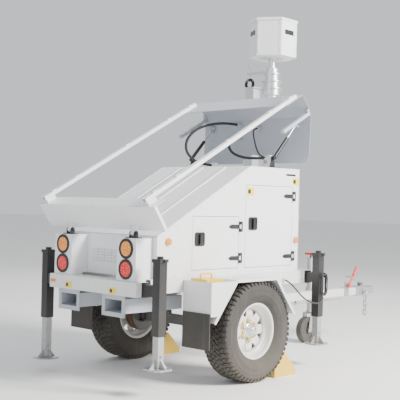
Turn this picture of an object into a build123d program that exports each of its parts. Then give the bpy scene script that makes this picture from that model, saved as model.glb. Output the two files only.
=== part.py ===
"""Solar-hybrid mast trailer: single axle, sloped battery cabinet, tilting module frame, telescopic mast.

Millimetres, +Z up, +Y towards the coupling, +X to the right-hand side.
While it is being built, Y = 0 lies at the axle; save() moves every piece so that the
origin is on the ground under the middle of the whole trailer.
"""
import os
from math import asin, atan2, cos, degrees, hypot, radians, sin, tan

from build123d import *

# ---------------------------------------------------------------- driving dimensions
SEAT = 0.3  # gap left between pieces that only rest against each other
SHEET = 3.0  # cabinet and guard sheet

TYRE_DIA = 733.0
TYRE_WIDTH = 235.0
RIM_DIA = 372.0
RIM_WIDTH = 168.0
WHEEL_X = 620.0  # middle of each wheel
SPINDLE_R = 25.0
SPINDLE_FIT = 0.05  # radial running clearance of shafts and pins

BODY_HALF = 476.0
BODY_REAR = -740.0
BODY_FRONT = 810.0
BODY_BOTTOM = 755.0
REAR_TOP = 1045.0  # where the slope meets the rear wall
RIDGE_Y = 211.0  # where the slope meets the roof
ROOF_Z = 1562.0

RAIL_WIDTH = 50.0
RAIL_HEIGHT = 100.0
TUBE_WALL = 4.0
CROSS_WIDTH = 60.0
CROSS_Y = (-560.0, -190.0, 190.0, 560.0)

REAR_BEAM_Y = -911.0  # rear face
REAR_BEAM_DEPTH = 120.0
REAR_BEAM_HALF = 465.0
REAR_BEAM_Z = 640.0
REAR_BEAM_HEIGHT = 98.0

POCKET_X = 239.0
POCKET_OPENING = (173.0, 85.0)
POCKET_WALL = 6.0
POCKET_FLANGE = 24.0
POCKET_DEPTH = 560.0

JACK_X = 600.0
JACK_REAR_Y = -827.0
JACK_FRONT_Y = 921.0
JACK_TOP = 919.0
JACK_SLEEVE = 66.0
JACK_SLEEVE_BOTTOM = 397.0
JACK_LEG = 52.0
JACK_LEG_LENGTH = 560.0
FOOT_SIZE = 160.0
FOOT_HEIGHTS = {"rear_left": 91.0, "rear_right": 178.0, "front_left": 150.0, "front_right": 176.0}

DRAWBAR_SIZE = 70.0
DRAWBAR_Z = 470.0
DRAWBAR_START = 530.0
DRAWBAR_END = 2420.0
COUPLING_TIP = 2655.0
BALL_DIA = 50.8

JOCKEY_X = -180.0
JOCKEY_Y = 1885.0
JOCKEY_TOP = 776.0
JOCKEY_SLEEVE_BOTTOM = 360.0
JOCKEY_TUBE_R = 30.0
JOCKEY_LEG_R = 24.0
JOCKEY_WHEEL_DIA = 240.0
JOCKEY_WHEEL_WIDTH = 70.0

LAMP_BOX_X = 340.0
LAMP_BOX_WIDTH = 190.0
LAMP_BOX_REAR = -893.0
LAMP_BOX_TOP = 1028.0
LAMP_Z = (957.0, 819.0)  # amber above red
LENS_DIA = 101.6
GROMMET_DIA = 137.0

DOORS = {"rear": (-403.0, 90.0, 801.0, 1182.0), "front": (160.0, 726.0, 800.0, 1420.0)}
LATCHES = {"rear": (-330.0, 1020.0), "front": (245.0, 1130.0)}
DOOR_GAP = 3.0
DOOR_RIM = 22.0
HINGE_X = BODY_HALF + 9.0
HINGE_PIN_R = 4.0
STRAP_LENGTH = 115.0
MARKER_DIA = 50.0

TILT_Y = -830.0  # hinge line of the module frame
TILT_Z = 1058.0
TILT_PIN_R = 8.0
TRAY_HALF = 618.0
TRAY_TOP = (-911.0, 1238.0)
TRAY_BOTTOM = (-801.0, 1080.0)
FRAME_ANGLE = 28.3  # degrees, rails above level
FRAME_RAIL_X = 540.0
FRAME_RAIL_WIDTH = 34.0
FRAME_RAIL_HEIGHT = 28.0
FRAME_RAIL_LIFT = 30.0  # rail's underside above the tray's flange
FRAME_RAIL_LENGTH = 1790.0
PLATE_HALF = 570.0
ARCH_HALF = 110.0
ARCH_HEIGHT = 75.0

STRUT_X = 450.0
STRUT_LOW = (520.0, 1640.0)
STRUT_HIGH = (790.0, 1925.0)
STRUT_BODY_R = 14.0
STRUT_ROD_R = 6.0
STRUT_BODY_LENGTH = 225.0

MAST_X = -34.0
MAST_Y = 1060.0
MAST_FOOT = 600.0
MAST_RADII = (56.0, 48.0, 40.0, 31.0)  # base tube, then each stage
MAST_COLLARS = (78.0, 72.0, 66.0)
COLLAR_HEIGHT = 62.0
COLLAR_BOTTOM = 2215.0
MAST_WALL = 4.0
HEAD_BOTTOM = 2534.0
HEAD_HEIGHT = 318.0
HEAD_SIDE = 208.0  # width of each of the six faces
POST_X = -122.0
POST_Y = 921.0
POST_SIZE = 90.0
POST_TOP = 2262.0

CORD_DIA = 12.0
CONDUIT_DIA = 22.0

AXLE_Z = TYRE_DIA / 2
AXLE_Y = 42.0  # axle ahead of the mudguards' middle
CHASSIS_TOP = BODY_BOTTOM
CHASSIS_LOW = CHASSIS_TOP - RAIL_HEIGHT
RAIL_X = BODY_HALF - RAIL_WIDTH / 2
BEAM_FRONT = REAR_BEAM_Y + REAR_BEAM_DEPTH
FRONT_BEAM_Y = JACK_FRONT_Y
REAR_END = TRAY_TOP[0]
MIDDLE_Y = (COUPLING_TIP + REAR_END) / 2


# ---------------------------------------------------------------- helpers
def save(name, *solids):
    """Write one node, moved so that Y = 0 is the middle of the trailer's length."""
    shape = solids[0] if len(solids) == 1 else Compound(children=list(solids))
    export_step(Pos(0, -MIDDLE_Y, 0) * shape, f"parts/{name}.step")


def block(x0, x1, y0, y1, z0, z1):
    """Box between two corners."""
    centre = ((x0 + x1) / 2, (y0 + y1) / 2, (z0 + z1) / 2)
    return Pos(*centre) * Box(abs(x1 - x0), abs(y1 - y0), abs(z1 - z0))


def rod(start, end, radius):
    """Cylinder from one point to another."""
    start, end = Vector(*start), Vector(*end)
    return Plane(start, z_dir=end - start) * extrude(Circle(radius), (end - start).length)


def tube(start, end, radius, bore):
    """Round tube from one point to another."""
    return rod(start, end, radius) - rod(start, end, bore)


def beam(x0, x1, y0, y1, z0, z1, along, wall=TUBE_WALL):
    """Rectangular tube, open at both ends of the named axis."""
    grow = [wall if axis != along else -1.0 for axis in "XYZ"]
    inner = block(x0 + grow[0], x1 - grow[0], y0 + grow[1], y1 - grow[1], z0 + grow[2], z1 - grow[2])
    return block(x0, x1, y0, y1, z0, z1) - inner


def profile(points, x0, x1):
    """Solid with a Y-Z outline, from one X to another."""
    face = make_face(Polyline(*points, close=True))
    return extrude(Plane.YZ.offset(x0) * face, x1 - x0)


def offset_path(points, distance):
    """Points of a Y-Z path moved sideways, mitred at its corners; positive is to the left."""
    moved = []
    for i, (y, z) in enumerate(points):
        normals = []
        for j in (i - 1, i):
            if 0 <= j < len(points) - 1:
                dy, dz = points[j + 1][0] - points[j][0], points[j + 1][1] - points[j][1]
                normals.append((-dz / hypot(dy, dz), dy / hypot(dy, dz)))
        ny = sum(n[0] for n in normals) / len(normals)
        nz = sum(n[1] for n in normals) / len(normals)
        scale = distance / (ny * ny + nz * nz)
        moved.append((y + ny * scale, z + nz * scale))
    return moved


def folded(points, thickness, x0, x1):
    """Folded sheet: a Y-Z path given a thickness to its left, from one X to another."""
    return profile(list(points) + offset_path(points, thickness)[::-1], x0, x1)


def mirrored(shape):
    """The same piece on the other side of the trailer."""
    return mirror(shape, Plane.YZ)


def both(shape):
    """A piece and its mirror image."""
    return [shape, mirrored(shape)]


def hexagon(side, z0, z1):
    """Hexagonal prism on the mast axis with flats facing left and right."""
    face = Rot(0, 0, 30) * RegularPolygon(side, 6)
    return Pos(MAST_X, MAST_Y, z0) * extrude(face, z1 - z0)


def square_end(points):
    """The same route with its first and last runs' directions as unit vectors."""
    first = (Vector(*points[1]) - Vector(*points[0])).normalized()
    last = (Vector(*points[-1]) - Vector(*points[-2])).normalized()
    return first, last


def gland(end, direction, radius, length):
    """Gland body that starts square on a cable's end and runs back the given length."""
    return rod(tuple(Vector(*end)), tuple(Vector(*end) + direction * length), radius)


def cord_tube(name, points, diameter):
    """Tube along straight runs joined by arcs as large as the runs allow; prints the radii."""
    corners = [Vector(*p) for p in points]
    radii = []
    for before, here, after in zip(corners, corners[1:], corners[2:]):
        turn = (here - before).get_angle(after - here)
        run = min((here - before).length, (after - here).length)
        radii.append(0.45 * run / tan(radians(turn / 2)))
    path = FilletPolyline(*points, radius=radii)
    section = Plane(path @ 0, z_dir=path % 0) * Circle(diameter / 2)
    solid = sweep(section, path=path)
    expected = path.length * 3.14159265 * diameter**2 / 4
    print(f"{name}: length {path.length:.0f}, radii {min(radii):.0f} to {max(radii):.0f},"
          f" volume ratio {solid.volume / expected:.4f}")
    return solid


# ---------------------------------------------------------------- chassis
def make_chassis():
    """Side rails, cross members, front beam and the closed rear beam."""
    front = FRONT_BEAM_Y - RAIL_WIDTH
    rail = beam(RAIL_X - RAIL_WIDTH / 2, RAIL_X + RAIL_WIDTH / 2, BEAM_FRONT, front, CHASSIS_LOW, CHASSIS_TOP, "Y")
    inner = RAIL_X - RAIL_WIDTH / 2
    pieces = both(rail)
    for y in CROSS_Y:
        pieces.append(beam(-inner, inner, y - CROSS_WIDTH / 2, y + CROSS_WIDTH / 2, CHASSIS_LOW, CHASSIS_TOP, "X"))
    pieces.append(beam(-500, 500, front, FRONT_BEAM_Y + RAIL_WIDTH, CHASSIS_LOW, CHASSIS_TOP, "X"))
    low, high = REAR_BEAM_Z, REAR_BEAM_Z + REAR_BEAM_HEIGHT
    half = REAR_BEAM_HALF
    shell = beam(-half + TUBE_WALL, half - TUBE_WALL, REAR_BEAM_Y, BEAM_FRONT, low, high, "X")
    cap = block(half - TUBE_WALL, half, REAR_BEAM_Y, BEAM_FRONT, low, high)
    away = -square_end(JACK_LEAD)[0]
    pieces[0] += gland(JACK_LEAD[0], away, GLAND_R, (JACK_LEAD[0][0] - BODY_HALF + 1) / -away.X)
    save("chassis_frame", *pieces, shell, *both(cap))


def make_fork_pockets():
    """Two forklift pockets under the chassis, each a rectangular tube with a flanged mouth."""
    top = REAR_BEAM_Z
    width, height = POCKET_OPENING
    outer_w, outer_h = width / 2 + POCKET_WALL, height + 2 * POCKET_WALL
    z1 = top - POCKET_FLANGE
    z0 = z1 - outer_h
    rear = REAR_BEAM_Y + 6
    tubes = beam(-outer_w, outer_w, rear, rear + POCKET_DEPTH, z0, z1, "Y", POCKET_WALL)
    flange = block(-outer_w - POCKET_FLANGE, outer_w + POCKET_FLANGE, rear - 5, rear, z0 - POCKET_FLANGE, top)
    flange -= block(-width / 2, width / 2, rear - 6, rear + 1, z0 + POCKET_WALL, z1 - POCKET_WALL)
    pocket = tubes + flange
    for x in (-outer_w - POCKET_FLANGE / 2, outer_w + POCKET_FLANGE / 2):
        for z in (z0 - POCKET_FLANGE / 2, z1 + POCKET_FLANGE / 2):
            pocket += rod((x, rear - 9, z), (x, rear - 5, z), 7)
    hanger = block(outer_w - 8, outer_w, CROSS_Y[0] - 25, CROSS_Y[0] + 25, z1, CHASSIS_LOW)
    pocket += hanger + mirrored(hanger)
    save("fork_pockets", Pos(POCKET_X, 0, 0) * pocket, Pos(-POCKET_X, 0, 0) * pocket)


def make_drawbar():
    """Central drawbar, carried under the cross member and the front beam by side plates."""
    half = DRAWBAR_SIZE / 2
    low, high = DRAWBAR_Z - half, DRAWBAR_Z + half
    bar = beam(-half, half, DRAWBAR_START, DRAWBAR_END, low, high, "Y", 5)
    pieces = [bar]
    for y0, y1 in ((CROSS_Y[3] - 30, CROSS_Y[3] + 30), (FRONT_BEAM_Y - 50, FRONT_BEAM_Y + 50)):
        pieces += both(block(half, half + 8, y0, y1, low, CHASSIS_LOW))
    save("drawbar", *pieces)


# ---------------------------------------------------------------- running gear
def make_axle():
    """Square axle beam with a spindle and a brake back plate at each end."""
    half = 35.0
    body = block(-470, 470, AXLE_Y - half, AXLE_Y + half, AXLE_Z - half, AXLE_Z + half)
    spindle = rod((470, AXLE_Y, AXLE_Z), (655, AXLE_Y, AXLE_Z), SPINDLE_R)
    plate = rod((470, AXLE_Y, AXLE_Z), (478, AXLE_Y, AXLE_Z), 124)
    save("axle_beam", body + spindle + plate + mirrored(spindle + plate))


def make_springs():
    """A leaf pack, two eye brackets and U-bolts on each side."""
    x0, x1 = RAIL_X - 32, RAIL_X + 4
    thickness, pad = 9.0, 10.0
    axle_top = AXLE_Z + 35.0
    pieces = [block(x0, x1, -60, 60, axle_top, axle_top + pad)]
    reach, rise = 330.0, 95.0
    radius = (reach**2 + rise**2) / (2 * rise)
    leaves = 4
    low = axle_top + pad
    centre_z = low + (leaves - 1) * (thickness + SEAT) + radius
    for i in range(leaves):
        inner = radius + (leaves - 1 - i) * (thickness + SEAT) - thickness
        half = degrees(atan2(reach * (0.45 + 0.55 * i / (leaves - 1)), radius - rise))
        outer_arc = CenterArc((0, centre_z), inner + thickness, 270 - half, 2 * half)
        inner_arc = CenterArc((0, centre_z), inner, 270 - half, 2 * half)
        edges = [outer_arc, Line(outer_arc @ 1, inner_arc @ 1), inner_arc, Line(inner_arc @ 0, outer_arc @ 0)]
        pieces.append(extrude(Plane.YZ.offset(x0) * make_face(edges), x1 - x0))
    eye_z = centre_z - (radius - thickness / 2) * cos(radians(half))
    for y in (-reach, reach):
        ear = profile([(y - 35, CHASSIS_LOW), (y + 35, CHASSIS_LOW), (y + 22, eye_z - 20), (y - 22, eye_z - 20)], 0, 6)
        pin = rod((x0 - 9, y, eye_z + 13), (x1 + 9, y, eye_z + 13), 8)
        pieces.append(Pos(x0 - 6.5, 0, 0) * ear + Pos(x1 + 0.5, 0, 0) * ear + pin)
    top = axle_top + pad + leaves * (thickness + SEAT) + 14
    under = AXLE_Z - 35.0
    for y in (-48, 48):
        for x in (x0 - 7, x1 + 7):
            pieces.append(rod((x, y, under), (x, y, top), 6))
        pieces.append(block(x0 - 13, x1 + 13, y - 6, y + 6, top, top + 12))
    pieces.append(block(x0 - 13, x1 + 13, -60, 60, under - 12, under))
    pieces = [Pos(0, AXLE_Y, 0) * piece for piece in pieces]
    save("leaf_springs", *pieces, *[mirrored(p) for p in pieces])


def turned(points):
    """Ring about the axle, from an outline of (distance along X, radius) points."""
    face = Plane.XZ * make_face(Polyline(*points, close=True))
    return Pos(0, 0, AXLE_Z) * revolve(face, Axis.X, 360)


def make_wheels():
    """Tyre, steel rim with eight windows, brake drum, hub, studs with nuts and a cap."""
    r, w = TYRE_DIA / 2, TYRE_WIDTH / 2
    bead, bead_x = RIM_DIA / 2 + 0.3, RIM_WIDTH / 2 - 10
    outer = [(bead_x, bead), (bead_x, bead + 22), (w - 3, bead + 52), (w, bead + 85), (w - 4, r - 36), (w - 20, r - 7), (w - 40, r)]
    inner = [(w - 44, r - 22), (w - 24, r - 38), (w - 15, bead + 84), (w - 18, bead + 56), (bead_x - 14, bead)]
    tyre = turned(outer + [(-x, z) for x, z in outer[::-1] + inner[::-1]] + inner)

    rim_r, half = RIM_DIA / 2, RIM_WIDTH / 2
    barrel = turned([
        (half, rim_r + 17), (half - 4, rim_r + 17), (half - 4, rim_r), (30, rim_r), (15, rim_r - 24),
        (-25, rim_r - 24), (-40, rim_r), (4 - half, rim_r), (4 - half, rim_r + 17), (-half, rim_r + 17),
        (-half, rim_r - 4), (-42, rim_r - 4), (-27, rim_r - 28), (17, rim_r - 28), (32, rim_r - 4), (half, rim_r - 4),
    ])
    disc = turned([
        (27, 55.3), (27, 98), (36, 112), (36, 138), (24, rim_r - 28.5), (17, rim_r - 28.5), (29, 136), (29, 114),
        (20, 100), (20, 55.3),
    ])
    window = Plane.YZ * make_face(Polyline((-17, 143), (17, 143), (0, 110), close=True))
    window = extrude(window, 80)
    for i in range(8):
        disc -= Pos(0, 0, AXLE_Z) * Rot(i * 45 + 22.5, 0, 0) * window
    rim = barrel + disc
    bore = SPINDLE_R + SPINDLE_FIT
    drum = turned([(-110, 127), (-135, 127), (-135, 119), (-118, 119), (-118, bore), (-58, bore), (-58, 127)])
    hub = turned([(-58, bore), (-58, 60), (19.7, 60), (19.7, 55), (40, 55), (40, bore)])
    cap = turned([(40, 0), (40, 34), (70, 34), (76, 26), (76, 0)])
    studs = []
    for i in range(6):
        stud = rod((27, 0, 69.85), (52, 0, 69.85), 6.5) + extrude(Plane.YZ.offset(27) * Pos(0, 69.85) * RegularPolygon(11, 6), 16)
        studs.append(Pos(0, 0, AXLE_Z) * Rot(i * 60, 0, 0) * stud)
    pieces = [rim, drum, hub, cap] + studs
    for side, sign in (("right", 1), ("left", -1)):
        place = Pos(sign * WHEEL_X, AXLE_Y, 0) * Rot(0, 0, 0 if sign > 0 else 180)
        save(f"tyre_{side}", place * tyre)
        save(f"rim_{side}", *[place * piece for piece in pieces])


GUARD = [(-450.0, 466.0), (-225.0, 749.0), (225.0, 749.0), (450.0, 466.0)]
GUARD_X = (BODY_HALF, 745.0)
RACK_Y = -480.0
RACK_Z = (509.0, 741.0)


def make_guards():
    """Flat-topped mudguards with side gussets, and the rack for a spare chock behind each."""
    x0, x1 = GUARD_X
    sheet = folded(GUARD, -SHEET, x0, x1)
    lip = folded(offset_path(GUARD, -SHEET), -18, x1 - SHEET, x1)
    guard = sheet + lip
    for y in (GUARD[1][0], GUARD[2][0] - 4):
        web_top = GUARD[1][1] - SHEET
        web = make_face(Polyline((x0, web_top), (x0 + 190, web_top), (x0, web_top - 46), close=True))
        guard += extrude(Plane.XZ.offset(-y - 4) * web, 4)
    rear, low, high = RACK_Y, RACK_Z[0], RACK_Z[1]
    back = block(x0 + 4, x1, rear - SHEET, rear, low, high)
    outline = [(rear, low), (-400, low), (-225, high), (rear, high)]
    side = profile(outline, x1 - SHEET, x1)
    other = profile(outline, x0 + 4, x0 + 7)
    shelf = block(x0 + 7, x1 - SHEET, rear, -380, low + 20, low + 20 + SHEET)
    rack = back + side + other + shelf
    rack -= profile([GUARD[0], GUARD[1], (-225, 400), (-450, 300)], x0 - 1, x1 + 1)
    guard = guard + rack
    save("mudguards", *both(guard))
    save("mudflaps", *both(block(x0 + 8, x1 - 6, rear - SHEET - 7, rear - SHEET, 283, low + 20)))


STOWED_TOP = 758.0
CHOCK_LENGTH = 252.0
CHOCK_HEIGHT = 176.0
CHOCK_WIDTH = 150.0
CHOCK_FLAT = 42.0


def make_chocks():
    """Yellow wheel chocks: one stowed in each rack, and one in front of each tyre."""
    shelf = RACK_Z[0] + 20 + SHEET
    wedge = [(RACK_Y + SEAT, shelf + SEAT), (RACK_Y + SEAT, STOWED_TOP), (-330, STOWED_TOP), (-274, 706), (-411, shelf + SEAT)]
    stowed = profile(wedge, WHEEL_X - CHOCK_WIDTH / 2, WHEEL_X + CHOCK_WIDTH / 2)
    bail = FilletPolyline((WHEEL_X, -460, STOWED_TOP - 1), (WHEEL_X, -460, STOWED_TOP + 34),
                          (WHEEL_X, -350, STOWED_TOP + 34), (WHEEL_X, -350, STOWED_TOP - 1), radius=16)
    stowed += sweep(Plane(bail @ 0, z_dir=bail % 0) * Circle(7), path=bail)
    save("stowed_chocks", *both(stowed))

    r = TYRE_DIA / 2 + SEAT
    toe, toe_top = 236.0, 60.0
    reach = hypot(toe, AXLE_Z - toe_top)
    lean = atan2(AXLE_Z - toe_top, -toe) - asin(r / reach)
    face_top = toe + (CHOCK_HEIGHT - toe_top) / tan(lean)
    outline = [(toe, 0), (toe + CHOCK_LENGTH, 0), (toe + CHOCK_LENGTH, 40), (face_top + CHOCK_FLAT, CHOCK_HEIGHT),
               (face_top, CHOCK_HEIGHT), (toe, toe_top)]
    body = profile(outline, -CHOCK_WIDTH / 2, CHOCK_WIDTH / 2)
    grip = block(-45, 45, toe + 150, toe + 190, 60, 92)
    body -= grip
    for side, sign in (("right", 1), ("left", -1)):
        save(f"chock_{side}", Pos(sign * WHEEL_X, AXLE_Y, 0) * body)


# ---------------------------------------------------------------- jacks and drawbar fittings
def make_jacks():
    """Four corner jacks: a square sleeve on a beam bracket, and a sliding leg with a foot plate."""
    half, leg_half = JACK_SLEEVE / 2, JACK_LEG / 2
    bore = leg_half + SEAT
    top = JACK_TOP - 40
    sleeve = block(-half, half, -half, half, JACK_SLEEVE_BOTTOM, top)
    sleeve -= block(-bore, bore, -bore, bore, JACK_SLEEVE_BOTTOM - 1, top + 1)
    head = block(-half - 6, half + 6, -half - 6, half + 6, top, top + 22)
    head += rod((0, 0, top + 22), (0, 0, JACK_TOP), 22)
    head += rod((half + 6, 0, top + 11), (half + 22, 0, top + 11), 9)
    sleeves = []
    for y, beam_half, low, high in (
        (JACK_REAR_Y, REAR_BEAM_HALF, REAR_BEAM_Z, REAR_BEAM_Z + REAR_BEAM_HEIGHT),
        (JACK_FRONT_Y, 500.0, CHASSIS_LOW, CHASSIS_TOP),
    ):
        reach = JACK_X - half
        arm = block(beam_half, reach + 1, y - 30, y + 30, low + 12, high - 12)
        flange = block(beam_half, beam_half + 8, y - 35, y + 35, low, high)
        for dz in (-34, 34):
            for dy in (-24, 24):
                z = (low + high) / 2 + dz
                flange += rod((beam_half + 8, y + dy, z), (beam_half + 16, y + dy, z), 7)
        sleeves.append(Pos(JACK_X, y, 0) * (sleeve + head) + arm + flange)
    mirrors = [mirrored(s) for s in sleeves]
    hook_z = JACK_COIL_Z + JACK_COIL_HEIGHT / 2 - 2 * COIL_BUNDLE_R - 6 - SEAT
    tip = JACK_COIL_X + COIL_BUNDLE_R + 10
    hook = rod((JACK_X + half - 1, JACK_FRONT_Y, hook_z), (tip, JACK_FRONT_Y, hook_z), 6)
    sleeves[1] += hook + rod((tip, JACK_FRONT_Y, hook_z - 6), (tip, JACK_FRONT_Y, hook_z + 22), 6)
    save("jack_sleeves", *sleeves, *mirrors)

    for name, foot in FOOT_HEIGHTS.items():
        leg = beam(-leg_half, leg_half, -leg_half, leg_half, foot + 10, foot + JACK_LEG_LENGTH, "Z", 5)
        half_foot = FOOT_SIZE / 2
        plate = block(-half_foot, half_foot, -half_foot, half_foot, foot, foot + 10)
        plate = chamfer(plate.edges().filter_by(Axis.Z), 28)
        rib = profile([(-80, foot + 9), (80, foot + 9), (leg_half, foot + 70), (-leg_half, foot + 70)], -4, 4)
        rib -= block(-5, 5, -leg_half + 2, leg_half - 2, foot + 12, foot + 80)
        leg += plate + rib + Rot(0, 0, 90) * rib
        leg += rod((-leg_half - 14, 0, foot + 90), (leg_half + 14, 0, foot + 90), 7)
        x = JACK_X if name.endswith("right") else -JACK_X
        y = JACK_REAR_Y if name.startswith("rear") else JACK_FRONT_Y
        save(f"jack_leg_{name}", Pos(x, y, 0) * leg)


def make_jockey():
    """Jockey wheel: clamped tube, T-handle, sliding leg, swivelling fork and a solid wheel."""
    x, y = JOCKEY_X, JOCKEY_Y
    leg_bore = JOCKEY_LEG_R + SEAT
    low, top = JOCKEY_SLEEVE_BOTTOM, JOCKEY_TOP
    sleeve = tube((x, y, low), (x, y, top), JOCKEY_TUBE_R, leg_bore)
    sleeve += tube((x, y, top), (x, y, top + 14), JOCKEY_TUBE_R + 4, 8.05)
    clamp = tube((x, y, DRAWBAR_Z - 45), (x, y, DRAWBAR_Z + 45), JOCKEY_TUBE_R + 12, JOCKEY_TUBE_R - 1)
    arm = block(x + JOCKEY_TUBE_R + 8, -DRAWBAR_SIZE / 2, y - 22, y + 22, DRAWBAR_Z - 30, DRAWBAR_Z + 30)
    save("jockey_tube", sleeve + clamp + arm)

    handle = rod((x, y, top - 60), (x, y, top + 44), 8)
    handle += rod((x - 62, y, top + 50), (x + 62, y, top + 50), 11)
    save("jockey_handle", handle)

    r = JOCKEY_WHEEL_DIA / 2
    fork_top = JOCKEY_WHEEL_DIA + 30
    leg = tube((x, y, fork_top + 12), (x, y, top - 90), JOCKEY_LEG_R, JOCKEY_LEG_R - 4)
    leg += rod((x, y, fork_top + 12), (x, y, fork_top + 24), 34)
    leg -= rod((x, y, fork_top), (x, y, fork_top + 40), 8.05)
    save("jockey_leg", leg)

    half = JOCKEY_WHEEL_WIDTH / 2
    trail = 45.0
    fork = block(x - half - 12, x + half + 12, y - 38, y + 38, fork_top, fork_top + 8)
    fork += rod((x, y, fork_top), (x, y, fork_top + 36), 8)
    side = profile([(y - 38, fork_top + 8), (y + 38, fork_top + 8), (y - trail + 22, r - 20), (y - trail - 22, r - 20)],
                   x + half + 6, x + half + 12)
    fork += side + Pos(2 * x, 0, 0) * mirrored(side)
    fork += rod((x - half - 16, y - trail, r), (x + half + 16, y - trail, r), 8)
    save("jockey_fork", fork)

    wheel = rod((x - half, y - trail, r), (x + half, y - trail, r), r)
    wheel = fillet(wheel.edges().filter_by(GeomType.CIRCLE), 16)
    for face_x in (x - half, x + half):
        wheel -= rod((face_x - 14, y - trail, r), (face_x + 14, y - trail, r), 78)
    wheel += tube((x - half, y - trail, r), (x + half, y - trail, r), 24, 8.05)
    wheel -= rod((x - half - 1, y - trail, r), (x + half + 1, y - trail, r), 8.05)
    save("jockey_wheel", wheel)


def chain_link(x, y, z, length, wire, flat):
    """One oval link of round wire, upright; flat links lie across the others."""
    width = 17.0
    path = SlotCenterToCenter(length - 2 * width + 2 * wire, 2 * width).wire()
    section = Plane(path @ 0, z_dir=path % 0) * Circle(wire)
    link = Rot(0, 90, 0) * sweep(section, path=path)
    return Pos(x, y, z) * Rot(0, 0, 90 if flat else 0) * link


def make_coupling():
    """Ball coupling on the drawbar's end, its handle, the safety chain and the hand-brake lever."""
    half = DRAWBAR_SIZE / 2
    z0, z1 = DRAWBAR_Z - half, DRAWBAR_Z + half
    wide = half + 10
    outline = [(-wide, DRAWBAR_END), (wide, DRAWBAR_END), (wide, DRAWBAR_END + 120), (half + 4, COUPLING_TIP - 30),
               (14, COUPLING_TIP), (-14, COUPLING_TIP), (-half - 4, COUPLING_TIP - 30), (-wide, DRAWBAR_END + 120)]
    body = extrude(Plane.XY.offset(z0) * make_face(Polyline(*outline, close=True)), z1 - z0)
    body = fillet(body.edges().group_by(Axis.Z)[-1], 6)
    ball_y = COUPLING_TIP - 45
    body -= Pos(0, ball_y, z0 + 12) * Sphere(BALL_DIA / 2 + 0.5)
    body -= rod((0, ball_y, z0 - 1), (0, ball_y, z0 + 12), BALL_DIA / 2 + 0.5)
    ears = both(block(22, 30, DRAWBAR_END + 30, DRAWBAR_END + 80, z1 - 4, z1 + 44))
    body += ears[0] + ears[1]
    pivot = (DRAWBAR_END + 55, z1 + 30)
    body += rod((-30, *pivot), (30, *pivot), 6)
    collar = block(-wide, wide, DRAWBAR_END - 90, DRAWBAR_END, z0 - 8, z1 + 8)
    collar -= block(-half, half, DRAWBAR_END - 91, DRAWBAR_END + 1, z0, z1)
    quadrant_y = 2165.0
    quadrant = profile([(quadrant_y - 30, z0), (quadrant_y + 40, z0), (quadrant_y + 40, z1 + 60),
                        (quadrant_y - 30, z1 + 60)], half, half + 6)
    brake_pivot = (quadrant_y, z1 + 28)
    quadrant += rod((half + 6, *brake_pivot), (half + 46, *brake_pivot), 6)
    quadrant += rod((half + 6, *brake_pivot), (half + 18, *brake_pivot), 14)
    rod_low = z0 - 24
    tie = rod((half - 10, 200, rod_low), (half - 10, quadrant_y - 60, rod_low), 5)
    tie += tube((half - 10, quadrant_y - 330, rod_low), (half - 10, quadrant_y - 250, rod_low), 9, 4.9)
    eyes = [block(half - 22, half + 2, y - 8, y + 8, rod_low - 10, z0) for y in (DRAWBAR_START + 60, 1400.0)]
    for eye in eyes:
        tie += eye
    wire, length = 5.5, 44.0
    chain_x = wide + 26
    links = []
    anchor_z = DRAWBAR_Z
    chain_y = DRAWBAR_END + 18
    eye_hole = 9.0
    ring = tube((chain_x - 3, chain_y, anchor_z), (chain_x + 3, chain_y, anchor_z), eye_hole + 6, eye_hole)
    ring += block(wide, chain_x + 3, chain_y - 8, chain_y + 8, anchor_z + 10, anchor_z + 15)
    for i in range(5):
        z = anchor_z - eye_hole - length / 2 + 0.5 - i * (length - SEAT)
        links.append(chain_link(chain_x, chain_y, z, length, wire, flat=i % 2 == 0))
    save("coupling", body, collar, quadrant, tie, ring, *links)

    lever = tube((-21, *pivot), (21, *pivot), 14, 6.05)
    tip_y, tip_z = DRAWBAR_END - 110, z1 + 100
    arm = profile([(pivot[0] - 4, pivot[1] - 8), (pivot[0] - 4, pivot[1] + 10), (tip_y + 6, tip_z + 8), (tip_y, tip_z - 8)], -6, 6)
    arm -= rod((-30, *pivot), (30, *pivot), 6.05)
    loop_path = FilletPolyline((5, tip_y + 10, tip_z), (34, tip_y, tip_z), (34, tip_y - 60, tip_z + 4), (-34, tip_y - 60, tip_z + 4),
                               (-34, tip_y, tip_z), (-5, tip_y + 10, tip_z), radius=12)
    loop = sweep(Plane(loop_path @ 0, z_dir=loop_path % 0) * Circle(5.5), path=loop_path)
    save("coupling_handle", lever + arm + loop)

    x0 = half + 18 + SEAT
    grip = Vector(0, 122, 156).normalized()
    base = Vector(x0 + 12, *brake_pivot)
    hand = tube((x0, *brake_pivot), (x0 + 24, *brake_pivot), 20, 6.05)
    hand += rod(tuple(base + grip * 18), tuple(base + grip * 205), 8)
    hand += rod(tuple(base + grip * 120), tuple(base + grip * 215), 14)
    save("handbrake_lever", hand)


# ---------------------------------------------------------------- cabinet
COVER_PATH = [(BODY_REAR, REAR_TOP), (RIDGE_Y, ROOF_Z), (BODY_FRONT, ROOF_Z), (BODY_FRONT, BODY_BOTTOM)]
COVER_INSIDE = offset_path(COVER_PATH, -SHEET)


def slope_z(y):
    """Height of the sloped cover's outer face at a given Y."""
    return REAR_TOP + (y - BODY_REAR) * (ROOF_Z - REAR_TOP) / (RIDGE_Y - BODY_REAR)


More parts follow.
